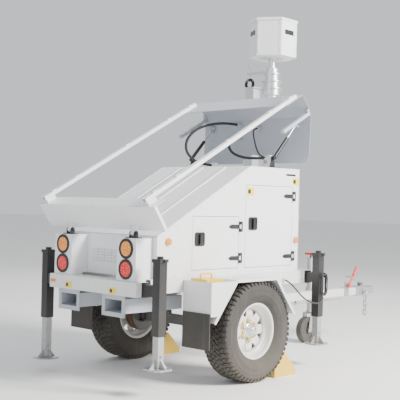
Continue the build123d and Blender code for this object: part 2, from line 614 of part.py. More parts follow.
def make_cover():
    """Slope, roof and front wall in one folded sheet, with seams, strut feet and cable glands."""
    cover = folded(COVER_PATH, -SHEET, -BODY_HALF - SHEET, BODY_HALF + SHEET)
    for x in (-238, 0, 238):
        y0, y1 = BODY_REAR + 40, RIDGE_Y - 20
        seam = profile([(y0, slope_z(y0) - 1), (y1, slope_z(y1) - 1), (y1 - 4, slope_z(y1) + 7), (y0 + 8, slope_z(y0) + 11)],
                       x - 9, x + 9)
        cover += seam
    x, y, z = CONDUIT_LEFT[-1]
    cover += block(x - 28, x + 28, y + 18, y + 62, ROOF_Z - 1, z + 22)
    cover += gland(CONDUIT_LEFT[-1], square_end(CONDUIT_LEFT)[1], GLAND_R, 24)
    for route in (CONDUIT_NEAR, LEAD_FAR):
        last = square_end(route)[1]
        post = Vector(*route[-1]) + last * 40
        cover += gland(route[-1], last, GLAND_R, 40)
        cover += rod((post.X, post.Y, ROOF_Z - 1), (post.X, post.Y, post.Z + GLAND_R + 4), GLAND_R + 3)
    save("top_cover", cover)


def make_tub():
    """Floor, louvred rear wall and the bulkhead between the two bays."""
    edge = BODY_HALF - SHEET
    floor = block(-edge, edge, BODY_REAR + SHEET, BODY_FRONT - SHEET, BODY_BOTTOM, BODY_BOTTOM + SHEET)
    wall_top = COVER_INSIDE[0][1] - 1
    rear = block(-edge, edge, BODY_REAR, BODY_REAR + SHEET, BODY_BOTTOM, wall_top)
    for column in range(4):
        for row in range(5):
            x, z = -190 + column * 72, 845 + row * 20
            rear -= block(x, x + 60, BODY_REAR - 1, BODY_REAR + SHEET + 1, z, z + 7)
            rear += profile([(BODY_REAR + 1, z + 8), (BODY_REAR - 9, z), (BODY_REAR - 9, z + 2), (BODY_REAR + 1, z + 10)], x, x + 60)
    wall_y = (DOORS["rear"][1] + DOORS["front"][0]) / 2
    ceiling = slope_z(wall_y) - 6
    bulkhead = block(-edge, edge, wall_y - 1.5, wall_y + 1.5, BODY_BOTTOM + SHEET, ceiling)
    save("body_tub", floor, rear, bulkhead)


def side_outline():
    """Y-Z outline of a side panel, just under the folded cover."""
    (ya, za), (yb, zb), (yc, zc), _ = COVER_INSIDE
    return [(BODY_REAR, BODY_BOTTOM), (yc, BODY_BOTTOM), (yc, zc), (yb, zb), (ya, za), (BODY_REAR, za - 1.5)]


def make_sides():
    """Right panel with two door openings, and the plain left panel with its two pressed stiffeners."""
    right = profile(side_outline(), BODY_HALF - SHEET, BODY_HALF)
    left = mirrored(right)
    for y0, y1, z0, z1 in DOORS.values():
        right -= block(BODY_HALF - 5, BODY_HALF + 2, y0, y1, z0, z1)
    save("side_panel_right", right)
    for y0, y1, z0, z1 in DOORS.values():
        left += block(-BODY_HALF - 4, -BODY_HALF, y0 + 10, y1 - 10, z0 + 10, z1 - 10)
    save("side_panel_left", left)


def make_doors():
    """Pan-shaped doors with black strap hinges, their fixed leaves, and quarter-turn latches."""
    leaves = []
    for name, (y0, y1, z0, z1) in DOORS.items():
        a, b, low, high = y0 + DOOR_GAP, y1 - DOOR_GAP, z0 + DOOR_GAP, z1 - DOOR_GAP
        door = block(BODY_HALF - DOOR_RIM, BODY_HALF, a, b, low, high)
        door -= block(BODY_HALF - DOOR_RIM - 1, BODY_HALF - SHEET, a + 2, b - 2, low + 2, high - 2)
        pin_y = y1 + 6
        for z in (z0 + 75, z1 - 75):
            strap = block(BODY_HALF, BODY_HALF + 4, pin_y - STRAP_LENGTH + 24, pin_y - 2, z - 15, z + 15)
            tip = Plane.YZ.offset(BODY_HALF) * make_face(
                Polyline((pin_y - STRAP_LENGTH, z), (pin_y - STRAP_LENGTH + 24, z - 15), (pin_y - STRAP_LENGTH + 24, z + 15), close=True))
            knuckle = rod((HINGE_X, pin_y, z - 15), (HINGE_X, pin_y, z + 15), 8)
            door += strap + extrude(tip, 4) + knuckle
            door -= rod((HINGE_X, pin_y, z - 16), (HINGE_X, pin_y, z + 16), HINGE_PIN_R + SPINDLE_FIT)
            leaf = block(BODY_HALF, BODY_HALF + 4, pin_y + 2, pin_y + 34, z - 38, z + 38)
            leaf -= block(BODY_HALF - 1, BODY_HALF + 5, pin_y - 9, pin_y + 9, z - 15 - SEAT, z + 15 + SEAT)
            leaf += rod((HINGE_X, pin_y, z - 38), (HINGE_X, pin_y, z - 15 - SEAT), 8)
            leaf += rod((HINGE_X, pin_y, z + 15 + SEAT), (HINGE_X, pin_y, z + 38), 8)
            leaf += block(BODY_HALF, BODY_HALF + 4, pin_y - 4, pin_y + 4, z - 38, z - 15 - SEAT)
            leaf += block(BODY_HALF, BODY_HALF + 4, pin_y - 4, pin_y + 4, z + 15 + SEAT, z + 38)
            leaf += rod((HINGE_X, pin_y, z - 38), (HINGE_X, pin_y, z + 38), HINGE_PIN_R)
            leaves.append(leaf)
        y, z = LATCHES[name]
        dish = block(BODY_HALF, BODY_HALF + 6, y - 48, y + 48, z - 48, z + 48)
        dish = fillet(dish.edges().filter_by(Axis.X), 16)
        door += dish
        door -= rod((BODY_HALF - 10, y, z), (BODY_HALF + 8, y, z), 8 + SPINDLE_FIT)
        save(f"door_{name}", door)
        handle = block(BODY_HALF + 6 + SEAT, BODY_HALF + 20, y - 11, y + 11, z - 38, z + 38)
        handle = fillet(handle.edges().filter_by(Axis.X), 9)
        handle += rod((BODY_HALF - 14, y, z), (BODY_HALF + 7, y, z), 8)
        handle += block(BODY_HALF - 14, BODY_HALF - 9, y - 8, y + 8, z - 8, z + 34)
        save(f"latch_{name}", handle)
    save("hinge_leaves", *leaves)


def make_contents():
    """Eight battery blocks on the floor of the rear bay, and the control cabinet of the front bay."""
    floor = BODY_BOTTOM + SHEET
    batteries = []
    for row in range(2):
        for column in range(4):
            x, y = -370 + column * 180, -640 + row * 270
            case = block(x, x + 170, y, y + 240, floor, floor + 210)
            posts = [rod((x + px, y + 30, floor + 210), (x + px, y + 30, floor + 226), 9) for px in (30, 140)]
            batteries.append(case + posts[0] + posts[1])
    save("battery_bank", *batteries)
    shell = block(-360, 200, 230, 660, floor, 1380) - block(-357, 197, 233, 657, floor + 3, 1377)
    panel = block(200, 206, 250, 640, floor + 60, 1340)
    for z in (900, 1040, 1180):
        panel += block(206, 216, 300, 590, z, z + 90)
    save("control_cabinet", shell, panel)


# ---------------------------------------------------------------- rear lamps and markers
def make_lamps():
    """Two lamp boxes on the rear beam, rubber grommets, and amber and red lenses."""
    base = REAR_BEAM_Z + REAR_BEAM_HEIGHT
    boxes, grommets, ambers, reds = [], [], [], []
    for sign in (1, -1):
        x = sign * LAMP_BOX_X
        half = LAMP_BOX_WIDTH / 2
        box = block(x - half, x + half, LAMP_BOX_REAR, BODY_REAR, base, LAMP_BOX_TOP)
        box -= block(x - half + SHEET, x + half - SHEET, LAMP_BOX_REAR + SHEET, BODY_REAR + 1, base + SHEET, LAMP_BOX_TOP - SHEET)
        for z, group in zip(LAMP_Z, (ambers, reds)):
            rear = LAMP_BOX_REAR
            hole = GROMMET_DIA / 2 - 12
            box -= rod((x, rear - 1, z), (x, rear + 4, z), hole)
            lens_r = LENS_DIA / 2
            ring = tube((x, rear - 7, z), (x, rear - SEAT, z), GROMMET_DIA / 2, lens_r + SEAT)
            ring += tube((x, rear - 2, z), (x, rear + 12, z), hole - SEAT, lens_r + SEAT)
            ring += tube((x, rear + 12, z), (x, rear + 16, z), hole - SEAT, lens_r - 8)
            grommets.append(ring)
            lens = rod((x, rear + 12 - SEAT, z), (x, rear - 8, z), lens_r)
            lens = fillet(lens.edges().filter_by(GeomType.CIRCLE).sort_by(Axis.Y)[0], 5)
            group.append(lens)
        box -= block(x - half - 1, x + half + 1, BEAM_FRONT, BODY_REAR + 1, base - 1, CHASSIS_TOP)
        boxes.append(box)
    for y, z in ((-639.0, 1006.0), (BODY_FRONT - 36, 1000.0)):
        marker = rod((BODY_HALF, y, z), (BODY_HALF + 14, y, z), MARKER_DIA / 2)
        ambers += both(marker)
    save("lamp_boxes", *boxes)
    save("lamp_grommets", *grommets)
    save("amber_lenses", *ambers)
    save("red_lenses", *reds)


# ---------------------------------------------------------------- tilting module frame
FRAME_DIR = (cos(radians(FRAME_ANGLE)), sin(radians(FRAME_ANGLE)))
FRAME_UP = (-FRAME_DIR[1], FRAME_DIR[0])


def on_frame(along, up):
    """Y-Z point at a distance along the rails from the tray's top edge, and above their underside."""
    return (TRAY_TOP[0] + FRAME_DIR[0] * along + FRAME_UP[0] * up, TRAY_TOP[1] + FRAME_DIR[1] * along + FRAME_UP[1] * up)


def on_bottom(along):
    """Point (Y, Z) ahead of the tray's lower edge, parallel to the rails."""
    return (TRAY_BOTTOM[0] + FRAME_DIR[0] * along, TRAY_BOTTOM[1] + FRAME_DIR[1] * along)


def strip(start, end, low, high, x, half):
    """Block along the rails' direction, between two distances along it and two heights above it."""
    return profile([on_frame(start, low), on_frame(end, low), on_frame(end, high), on_frame(start, high)], x - half, x + half)


def make_frame():
    """Rear tray with hinge lugs, and two long rails with clamps, end plates and yellow caps."""
    lip = on_bottom(34)
    tray = folded([on_frame(118, 0), TRAY_TOP, TRAY_BOTTOM, lip], SHEET, -TRAY_HALF, TRAY_HALF)
    end = [on_frame(0, -1), on_frame(24, -1), on_bottom(24), TRAY_BOTTOM]
    for x in (-TRAY_HALF, TRAY_HALF - SHEET):
        tray += profile(end, x, x + SHEET)
    for x in (-LAMP_BOX_X, LAMP_BOX_X):
        lug = profile([(TILT_Y - 14, TILT_Z - 2), (TILT_Y + 14, TILT_Z - 2), (TRAY_BOTTOM[0] + 6, TRAY_BOTTOM[1] + 4),
                       (TRAY_BOTTOM[0] - 22, TRAY_BOTTOM[1] + 38)], x - 18, x + 18)
        lug += rod((x - 18, TILT_Y, TILT_Z), (x + 18, TILT_Y, TILT_Z), 16)
        tray += lug
        tray -= rod((x - 19, TILT_Y, TILT_Z), (x + 19, TILT_Y, TILT_Z), TILT_PIN_R + SPINDLE_FIT)
    rails = []
    for sign in (1, -1):
        x = sign * FRAME_RAIL_X
        half, wall, length = FRAME_RAIL_WIDTH / 2, 3.0, FRAME_RAIL_LENGTH
        low, high = FRAME_RAIL_LIFT, FRAME_RAIL_LIFT + FRAME_RAIL_HEIGHT
        rail = strip(5, length, low, high, x, half)
        rail -= strip(0, length + 5, low + wall, high - wall, x, half - wall)
        for along in (90, 330, 900, 1420, 1700):
            rail += strip(along, along + 40, high - 1, high + 5, x, half - 4)
        rail += strip(18, 98, SEAT, low + 1, x, half - 4)
        rails.append(rail)
    save("solar_frame", tray, *rails)


PLATE_TOP_FROM = 1640.0
PLATE_TOP_TO = 1855.0
PLATE_FOLDS = [(790.0, 2053.0), (822.0, 1985.0), (806.0, 1614.0)]


def make_plate():
    """Hooded front plate with an arched gap for the mast, two stay arms and the strut lugs."""
    path = [on_frame(PLATE_TOP_FROM, FRAME_RAIL_LIFT), on_frame(PLATE_TOP_TO, FRAME_RAIL_LIFT)] + PLATE_FOLDS
    plate = folded(path, -SHEET, -PLATE_HALF, PLATE_HALF)
    arch = block(-ARCH_HALF, ARCH_HALF, 780, 850, 1600, 1614 + ARCH_HEIGHT - 40)
    arch += rod((0, 780, 1614 + ARCH_HEIGHT - ARCH_HALF), (0, 850, 1614 + ARCH_HEIGHT - ARCH_HALF), ARCH_HALF)
    plate -= arch
    for sign in (1, -1):
        corner = block(sign * (PLATE_HALF - 60), sign * (PLATE_HALF + 1), 780, 850, 1600, 1674)
        corner -= rod((sign * (PLATE_HALF - 60), 770, 1674), (sign * (PLATE_HALF - 60), 860, 1674), 60)
        plate -= corner
        x = sign * (PLATE_HALF - 18)
        arm = profile([(480, 1846), (800, 2018), (812, 1994), (492, 1822)], x - 15, x + 15)
        plate += arm + profile([(775, 2030), (791, 2045), (820, 1988), (790, 1990)], x - 15, x + 15)
        lug_x = sign * (STRUT_X + 14)
        lug = profile([(819, 1960), (STRUT_HIGH[0] - 20, STRUT_HIGH[1] + 20), (STRUT_HIGH[0] - 20, STRUT_HIGH[1] - 20), (816, 1890)],
                      lug_x - 3, lug_x + 3)
        plate += lug
        plate -= rod((lug_x - 4, *STRUT_HIGH), (lug_x + 4, *STRUT_HIGH), 15)
    for route in (CONDUIT_LEFT, CONDUIT_NEAR, LEAD_FAR):
        away = -square_end(route)[0]
        reach = plate_y(route[0][2]) + 1 - route[0][1]
        plate += gland(route[0], away, GLAND_R, reach / away.Y)
    save("frame_plate", plate)


def plate_y(z):
    """Y of the front plate's rear face at a height on its long lower panel."""
    high, low = PLATE_FOLDS[1:]
    return low[0] + (z - low[1]) * (high[0] - low[0]) / (high[1] - low[1]) - SHEET


def make_pivots():
    """Rubber-padded hinge brackets on the lamp boxes and the strut feet on the roof."""
    pieces = []
    for x in (-LAMP_BOX_X, LAMP_BOX_X):
        bracket = block(x - 45, x + 45, TILT_Y - 35, TILT_Y + 35, LAMP_BOX_TOP, LAMP_BOX_TOP + 6)
        for side in (-1, 1):
            x0, x1 = sorted((x + side * (18 + SEAT), x + side * 26))
            bracket += block(x0, x1, TILT_Y - 18, TILT_Y + 18, LAMP_BOX_TOP + 5, TILT_Z)
            bracket += rod((x0, TILT_Y, TILT_Z), (x1, TILT_Y, TILT_Z), 18)
        bracket += rod((x - 32, TILT_Y, TILT_Z), (x + 32, TILT_Y, TILT_Z), TILT_PIN_R)
        pieces.append(bracket)
    for sign in (1, -1):
        x = sign * STRUT_X
        y, z = STRUT_LOW
        foot = block(x - 30, x + 30, y - 45, y + 45, ROOF_Z, ROOF_Z + 5)
        near = x - sign * 18
        foot += profile([(y - 30, ROOF_Z + 4), (y + 30, ROOF_Z + 4), (y + 14, z + 14), (y - 14, z + 14)], near - 3, near + 3)
        foot += rod((near, y, z), (x + sign * 10, y, z), 6)
        pieces.append(foot)
    save("frame_pivots", *pieces)


def make_struts():
    """Gas struts: a body pivoting on its roof foot, and a rod whose stud reaches the plate's lug."""
    dy, dz = STRUT_HIGH[0] - STRUT_LOW[0], STRUT_HIGH[1] - STRUT_LOW[1]
    length = hypot(dy, dz)
    along = (dy / length, dz / length)

    def point(x, distance):
        return (x, STRUT_LOW[0] + along[0] * distance, STRUT_LOW[1] + along[1] * distance)

    for side, sign in (("right", 1), ("left", -1)):
        x = sign * STRUT_X
        body = rod((x - 9, *STRUT_LOW), (x + 9, *STRUT_LOW), 14)
        body += rod(point(x, 8), point(x, STRUT_BODY_LENGTH), STRUT_BODY_R)
        body -= rod((x - 20, *STRUT_LOW), (x + 20, *STRUT_LOW), 6 + SPINDLE_FIT)
        body -= rod(point(x, 40), point(x, STRUT_BODY_LENGTH - 12), STRUT_BODY_R - 2)
        body -= rod(point(x, STRUT_BODY_LENGTH - 14), point(x, STRUT_BODY_LENGTH + 1), STRUT_ROD_R + SPINDLE_FIT)
        save(f"strut_body_{side}", body)
        piston = rod(point(x, 70), point(x, length), STRUT_ROD_R)
        piston += rod(point(x, 70), point(x, 82), STRUT_BODY_R - 2 - SEAT)
        piston += rod((x - 8, *STRUT_HIGH), (x + 8, *STRUT_HIGH), 13)
        piston += rod((x, *STRUT_HIGH), (x + sign * 18, *STRUT_HIGH), 5)
        save(f"strut_rod_{side}", piston)


# ---------------------------------------------------------------- mast and head
def make_mast():
    """Base tube with its brackets and cable post, three telescoping stages, and their collars."""
    base_r = MAST_RADII[0]
    low = MAST_FOOT
    base = tube((MAST_X, MAST_Y, low), (MAST_X, MAST_Y, COLLAR_BOTTOM + 1), base_r, base_r - MAST_WALL)
    base += tube((MAST_X, MAST_Y, COLLAR_BOTTOM), (MAST_X, MAST_Y, COLLAR_BOTTOM + COLLAR_HEIGHT), MAST_COLLARS[0], MAST_RADII[1] + SEAT)
    base += rod((MAST_X, MAST_Y, low - 10), (MAST_X, MAST_Y, low + 1), base_r + 20)
    beam_face = FRONT_BEAM_Y + RAIL_WIDTH
    for z0, z1 in ((CHASSIS_LOW + 5, CHASSIS_TOP - 5),):
        saddle = block(MAST_X - 80, MAST_X + 80, beam_face, MAST_Y + 20, z0, z1)
        base += saddle - rod((MAST_X, MAST_Y, z0 - 1), (MAST_X, MAST_Y, z1 + 1), base_r - 2)
    strap_z = 1490.0
    strap = tube((MAST_X, MAST_Y, strap_z - 30), (MAST_X, MAST_Y, strap_z + 30), base_r + 10, base_r - 2)
    for x in (MAST_X - 38, MAST_X + 56):
        strap += block(x, x + 6, BODY_FRONT, MAST_Y, strap_z - 30, strap_z + 30)
    foot = block(MAST_X - 90, MAST_X + 90, BODY_FRONT, BODY_FRONT + 6, strap_z - 45, strap_z + 45)
    strap -= rod((MAST_X, MAST_Y, strap_z - 31), (MAST_X, MAST_Y, strap_z + 31), base_r - 2)
    base += strap + foot
    half = POST_SIZE / 2
    post_low = CHASSIS_TOP
    post = beam(POST_X - half, POST_X + half, POST_Y - half, POST_Y + half, post_low, POST_TOP, "Z")
    post_cap = block(POST_X - half - 18, POST_X + half + 18, POST_Y - half - 18, POST_Y + half + 18, POST_TOP, POST_TOP + 8)
    save("mast_base", base, post, post_cap)

    for stage in (1, 2, 3):
        radius = MAST_RADII[stage]
        foot_z = MAST_FOOT + 40 * stage
        seat_z = COLLAR_BOTTOM + stage * (COLLAR_HEIGHT + SEAT)
        if stage < 3:
            piece = tube((MAST_X, MAST_Y, foot_z), (MAST_X, MAST_Y, seat_z + 1), radius, radius - MAST_WALL)
            bore = MAST_RADII[stage + 1] + SEAT
            piece += tube((MAST_X, MAST_Y, seat_z), (MAST_X, MAST_Y, seat_z + COLLAR_HEIGHT), MAST_COLLARS[stage], bore)
        else:
            piece = tube((MAST_X, MAST_Y, foot_z), (MAST_X, MAST_Y, HEAD_BOTTOM - 7), radius, radius - MAST_WALL)
            piece += tube((MAST_X, MAST_Y, seat_z), (MAST_X, MAST_Y, seat_z + 40), 58, radius - 1)
            piece += rod((MAST_X, MAST_Y, HEAD_BOTTOM - 8), (MAST_X, MAST_Y, HEAD_BOTTOM), 95)
            arm_z = seat_z + 16
            piece += block(ARM_END[0], MAST_X - 50, MAST_Y - 8, MAST_Y + 8, arm_z - 12, arm_z + 12)
            hook_z = COIL_Z + COIL_R - COIL_BUNDLE_R - 5 - SEAT
            piece += block(COIL_X - 6, COIL_X + 6, MAST_Y + COIL_BUNDLE_R + 2, MAST_Y + COIL_BUNDLE_R + 8, hook_z - 5, arm_z)
            piece += block(COIL_X - 6, COIL_X + 6, MAST_Y + 7, MAST_Y + COIL_BUNDLE_R + 8, arm_z - 6, arm_z + 6)
            piece += rod((COIL_X, MAST_Y - 20, hook_z), (COIL_X, MAST_Y + COIL_BUNDLE_R + 8, hook_z), 5)
            piece += rod((ARM_END[0] + 12, MAST_Y, arm_z + 10), (ARM_END[0] + 4, MAST_Y - 12, arm_z + 150), 3.5)
            piece += rod((ARM_END[0] + 12, MAST_Y, arm_z + 8), (ARM_END[0] + 10, MAST_Y - 3, arm_z + 40), 9)
        save(f"mast_stage_{stage}", piece)


ARM_END = (-305.0, MAST_Y)


def make_head():
    """Hexagonal equipment housing: base tray, six-sided shell and an overhanging cover."""
    z0, z1 = HEAD_BOTTOM, HEAD_BOTTOM + HEAD_HEIGHT
    tray = hexagon(HEAD_SIDE, z0, z0 + 8)
    shell = hexagon(HEAD_SIDE, z0 + 8, z1 - 24) - hexagon(HEAD_SIDE - 4, z0 + 7, z1 - 23)
    cover = hexagon(HEAD_SIDE + 8, z1 - 24, z1)
    cover = chamfer(cover.edges().group_by(Axis.Z)[-1], 8)
    save("head_enclosure", tray, shell, cover)


# ---------------------------------------------------------------- cables
CONDUIT_LEFT = [
    (-165.0, 770.0, 1945.0), (-175.0, 655.0, 1950.0), (-225.0, 530.0, 1935.0), (-285.0, 410.0, 1890.0),
    (-330.0, 335.0, 1800.0), (-345.0, 345.0, 1700.0), (-340.0, 430.0, 1632.0), (-330.0, 530.0, 1604.0),
    (-330.0, 640.0, 1598.0),
]
CONDUIT_NEAR = [
    (-154.0, 770.0, 1830.0), (-152.0, 690.0, 1818.0), (-128.0, 625.0, 1755.0), (-60.0, 600.0, 1692.0),
    (40.0, 608.0, 1656.0), (145.0, 632.0, 1646.0), (262.0, 640.0, 1648.0),
]
LEAD_FAR = [
    (60.0, 772.0, 1905.0), (68.0, 715.0, 1893.0), (105.0, 668.0, 1845.0), (155.0, 632.0, 1772.0),
    (208.0, 600.0, 1702.0), (272.0, 572.0, 1655.0), (345.0, 560.0, 1642.0),
]
JACK_LEAD = [
    (492.0, 640.0, 690.0), (535.0, 652.0, 668.0), (566.0, 694.0, 612.0), (590.0, 752.0, 548.0),
    (622.0, 822.0, 508.0), (651.0, 884.0, 506.0), (660.0, 915.0, 552.0),
]
GLAND_R = 17.0
COIL_Z = 2330.0
COIL_X = -280.0
COIL_R = 40.0
COIL_BUNDLE_R = 14.0
JACK_COIL_X = 660.0
JACK_COIL_Z = 655.0
JACK_COIL_HEIGHT = 190.0
JACK_COIL_WIDTH = 92.0


def make_cords():
    """Conduits between the front plate and the roof, a lead to the front jack, and two hung coils."""
    save("conduit_left", cord_tube("conduit_left", CONDUIT_LEFT, CONDUIT_DIA))
    save("conduit_near", cord_tube("conduit_near", CONDUIT_NEAR, CONDUIT_DIA))
    save("lead_far", cord_tube("lead_far", LEAD_FAR, CORD_DIA))
    save("jack_lead", cord_tube("jack_lead", JACK_LEAD, CORD_DIA))
    coil = Pos(COIL_X, MAST_Y, COIL_Z) * Rot(90, 0, 0) * Torus(COIL_R, COIL_BUNDLE_R)
    save("mast_coil", coil)
    path = SlotCenterToCenter(JACK_COIL_HEIGHT - JACK_COIL_WIDTH, JACK_COIL_WIDTH - 2 * COIL_BUNDLE_R).wire()
    ring = sweep(Plane(path @ 0, z_dir=path % 0) * Circle(COIL_BUNDLE_R), path=path)
    save("jack_coil", Pos(JACK_COIL_X, JACK_FRONT_Y, JACK_COIL_Z) * Rot(0, 90, 0) * ring)


def main():
    """Build every node into parts/."""
    os.makedirs("parts", exist_ok=True)
    make_chassis()
    make_fork_pockets()
    make_drawbar()
    make_axle()
    make_springs()
    make_wheels()
    make_guards()
    make_chocks()
    make_jacks()
    make_jockey()
    make_coupling()
    make_cover()
    make_tub()
    make_sides()
    make_doors()
    make_contents()
    make_lamps()
    make_frame()
    make_plate()
    make_pivots()
    make_struts()
    make_mast()
    make_head()
    make_cords()


if __name__ == "__main__":
    main()
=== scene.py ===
"""Visual model of a compact solar trailer with a telescopic mast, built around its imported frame."""

import logging
import math
from dataclasses import dataclass
from enum import Enum
from typing import Iterable, Sequence

import bmesh
import bpy
from mathutils import Matrix, Vector


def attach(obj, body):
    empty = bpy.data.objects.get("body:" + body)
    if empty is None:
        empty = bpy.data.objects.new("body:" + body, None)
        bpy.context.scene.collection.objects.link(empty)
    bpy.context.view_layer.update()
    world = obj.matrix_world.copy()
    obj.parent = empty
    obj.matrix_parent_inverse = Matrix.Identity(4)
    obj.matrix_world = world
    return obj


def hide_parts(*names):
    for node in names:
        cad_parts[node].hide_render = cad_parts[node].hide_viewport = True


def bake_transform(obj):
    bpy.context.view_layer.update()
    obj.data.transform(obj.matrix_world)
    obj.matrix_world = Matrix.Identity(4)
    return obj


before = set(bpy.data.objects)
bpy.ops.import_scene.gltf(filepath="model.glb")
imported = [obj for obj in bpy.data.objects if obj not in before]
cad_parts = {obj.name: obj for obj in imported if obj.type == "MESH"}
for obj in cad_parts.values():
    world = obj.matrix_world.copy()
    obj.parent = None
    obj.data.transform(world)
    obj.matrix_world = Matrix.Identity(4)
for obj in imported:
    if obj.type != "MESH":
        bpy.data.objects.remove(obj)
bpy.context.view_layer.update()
LOG = logging.getLogger("trailer")

MIDDLE_Y = 0.872  # axle to the middle of the trailer's length, in metres

Point = Sequence[float]
Colour = tuple[float, float, float]


def spot(x: float, y: float, z: float) -> Vector:
    """Point in metres for millimetres measured from the axle's middle on the ground."""
    return Vector((x / 1000, y / 1000 - MIDDLE_Y, z / 1000))


class Body(Enum):
    """The moving bodies that new pieces ride on."""

    TRAILER = "trailer"
    WHEEL_RIGHT = "wheel_right"
    WHEEL_LEFT = "wheel_left"
    DOOR_REAR = "door_rear"
    DOOR_FRONT = "door_front"
    FRAME = "module_frame"
    MAST_ONE = "mast_stage_1"
    MAST_TWO = "mast_stage_2"
    MAST_TOP = "mast_stage_3"


class Slot(Enum):
    """Material slots of the record."""

    WHITE = "white_paint"
    BLACK = "black_paint"
    RIM = "rim_white"
    TYRE = "tyre"
    YELLOW = "yellow_plastic"
    BLACK_PLASTIC = "black_plastic"
    AMBER = "amber_lens"
    STEEL = "brushed_steel"
    ALUMINIUM = "aluminium"
    CABLE = "cable_jacket"


# ---------------------------------------------------------------- shader groups
class ShaderGroup:
    """A node group with named sockets, filled in by the functions below."""

    def __init__(self, name: str, inputs: Sequence[tuple[str, str, object]],
                 outputs: Sequence[tuple[str, str]]) -> None:
        """Makes the group and its sockets.

        Args:
            name: The group's name.
            inputs: (name, socket type, default) for each input.
            outputs: (name, socket type) for each output.
        """
        self.tree = bpy.data.node_groups.new(name, "ShaderNodeTree")
        for label, kind, value in inputs:
            socket = self.tree.interface.new_socket(name=label, in_out="INPUT", socket_type=kind)
            if value is not None:
                socket.default_value = value
        for label, kind in outputs:
            self.tree.interface.new_socket(name=label, in_out="OUTPUT", socket_type=kind)
        self.start = self.tree.nodes.new("NodeGroupInput")
        self.end = self.tree.nodes.new("NodeGroupOutput")

    def node(self, kind: str, **values: object) -> bpy.types.Node:
        """Adds a node and sets its attributes."""
        return add_node(self.tree, kind, **values)

    def join(self, source: bpy.types.NodeSocket, target: bpy.types.NodeSocket) -> None:
        """Links two sockets."""
        self.tree.links.new(source, target)


def add_node(tree: bpy.types.NodeTree, kind: str, **values: object) -> bpy.types.Node:
    """Adds a shader node.

    Args:
        tree: The tree that takes the node.
        kind: The node's type name.
        **values: Attributes to set, and numbered inputs as in0, in1 and so on.

    Returns:
        The new node.
    """
    node = tree.nodes.new(kind)
    for key, value in values.items():
        if key.startswith("in") and key[2:].isdigit():
            node.inputs[int(key[2:])].default_value = value
        else:
            setattr(node, key, value)
    return node


def math_node(tree: bpy.types.NodeTree, operation: str, a: object, b: object = None,
              clamp: bool = False) -> bpy.types.NodeSocket:
    """A Math node with numbers or sockets on its inputs.

    Args:
        tree: The tree that takes the node.
        operation: The Math operation.
        a: First value, a number or a socket.
        b: Second value, or None.
        clamp: Whether the result stays between 0 and 1.

    Returns:
        The node's output socket.
    """
    node = tree.nodes.new("ShaderNodeMath")
    node.operation = operation
    node.use_clamp = clamp
    for index, value in enumerate((a, b)):
        if value is None:
            continue
        if isinstance(value, bpy.types.NodeSocket):
            tree.links.new(value, node.inputs[index])
        else:
            node.inputs[index].default_value = value
    return node.outputs[0]


def mix_colour(tree: bpy.types.NodeTree, factor: object, a: object, b: object,
               blend: str = "MIX") -> bpy.types.NodeSocket:
    """A Mix node for colours.

    Args:
        tree: The tree that takes the node.
        factor: How much of b, a number or a socket.
        a: First colour or socket.
        b: Second colour or socket.
        blend: The blend type.

    Returns:
        The mixed colour's socket.
    """
    node = tree.nodes.new("ShaderNodeMix")
    node.data_type = "RGBA"
    node.blend_type = blend
    for index, value in ((0, factor), (6, a), (7, b)):
        if isinstance(value, bpy.types.NodeSocket):
            tree.links.new(value, node.inputs[index])
        elif index == 0:
            node.inputs[index].default_value = value
        else:
            node.inputs[index].default_value = (*value[:3], 1.0)
    return node.outputs[2]


def grime_group() -> ShaderGroup:
    """Road dust that lies on low parts, faint rain streaks and blotches, over a base colour."""
    group = ShaderGroup(
        "grime",
        [("Vector", "NodeSocketVector", None), ("Base", "NodeSocketColor", (0.8, 0.8, 0.8, 1)),
         ("Dust", "NodeSocketColor", (0.32, 0.27, 0.21, 1)), ("Amount", "NodeSocketFloat", 0.3),
         ("Dust Height", "NodeSocketFloat", 0.9)],
        [("Color", "NodeSocketColor"), ("Mask", "NodeSocketFloat")],
    )
    tree, entry = group.tree, group.start.outputs
    parts = group.node("ShaderNodeSeparateXYZ")
    group.join(entry["Vector"], parts.inputs[0])
    low = math_node(tree, "DIVIDE", parts.outputs[2], entry["Dust Height"])
    low = math_node(tree, "SUBTRACT", 1.0, low, clamp=True)
    low = math_node(tree, "POWER", low, 1.4)
    blotch = group.node("ShaderNodeTexNoise", in2=3.1, in3=6.0, in4=0.62)
    group.join(entry["Vector"], blotch.inputs[0])
    speck = group.node("ShaderNodeTexNoise", in2=160.0, in3=2.0)
    group.join(entry["Vector"], speck.inputs[0])
    stretch = group.node("ShaderNodeMapping")
    stretch.inputs[3].default_value = (26.0, 26.0, 1.1)
    group.join(entry["Vector"], stretch.inputs[0])
    streak = group.node("ShaderNodeTexNoise", in2=1.0, in3=4.0, in4=0.55)
    group.join(stretch.outputs[0], streak.inputs[0])
    runs = group.node("ShaderNodeMapRange", in1=0.52, in2=0.8)
    group.join(streak.outputs[0], runs.inputs[0])
    patch = group.node("ShaderNodeMapRange", in1=0.42, in2=0.75)
    group.join(blotch.outputs[0], patch.inputs[0])
    dots = group.node("ShaderNodeMapRange", in1=0.6, in2=0.78)
    group.join(speck.outputs[0], dots.inputs[0])
    mask = math_node(tree, "MULTIPLY", runs.outputs[0], 0.42)
    mask = math_node(tree, "ADD", mask, math_node(tree, "MULTIPLY", patch.outputs[0], 0.3))
    mask = math_node(tree, "ADD", mask, math_node(tree, "MULTIPLY", dots.outputs[0], 0.25))
    mask = math_node(tree, "ADD", mask, math_node(tree, "MULTIPLY", low,
                                                  math_node(tree, "ADD", blotch.outputs[0], 0.6)))
    mask = math_node(tree, "MULTIPLY", mask, entry["Amount"], clamp=True)
    group.join(mix_colour(tree, mask, entry["Base"], entry["Dust"]), group.end.inputs[0])
    group.join(mask, group.end.inputs[1])
    return group


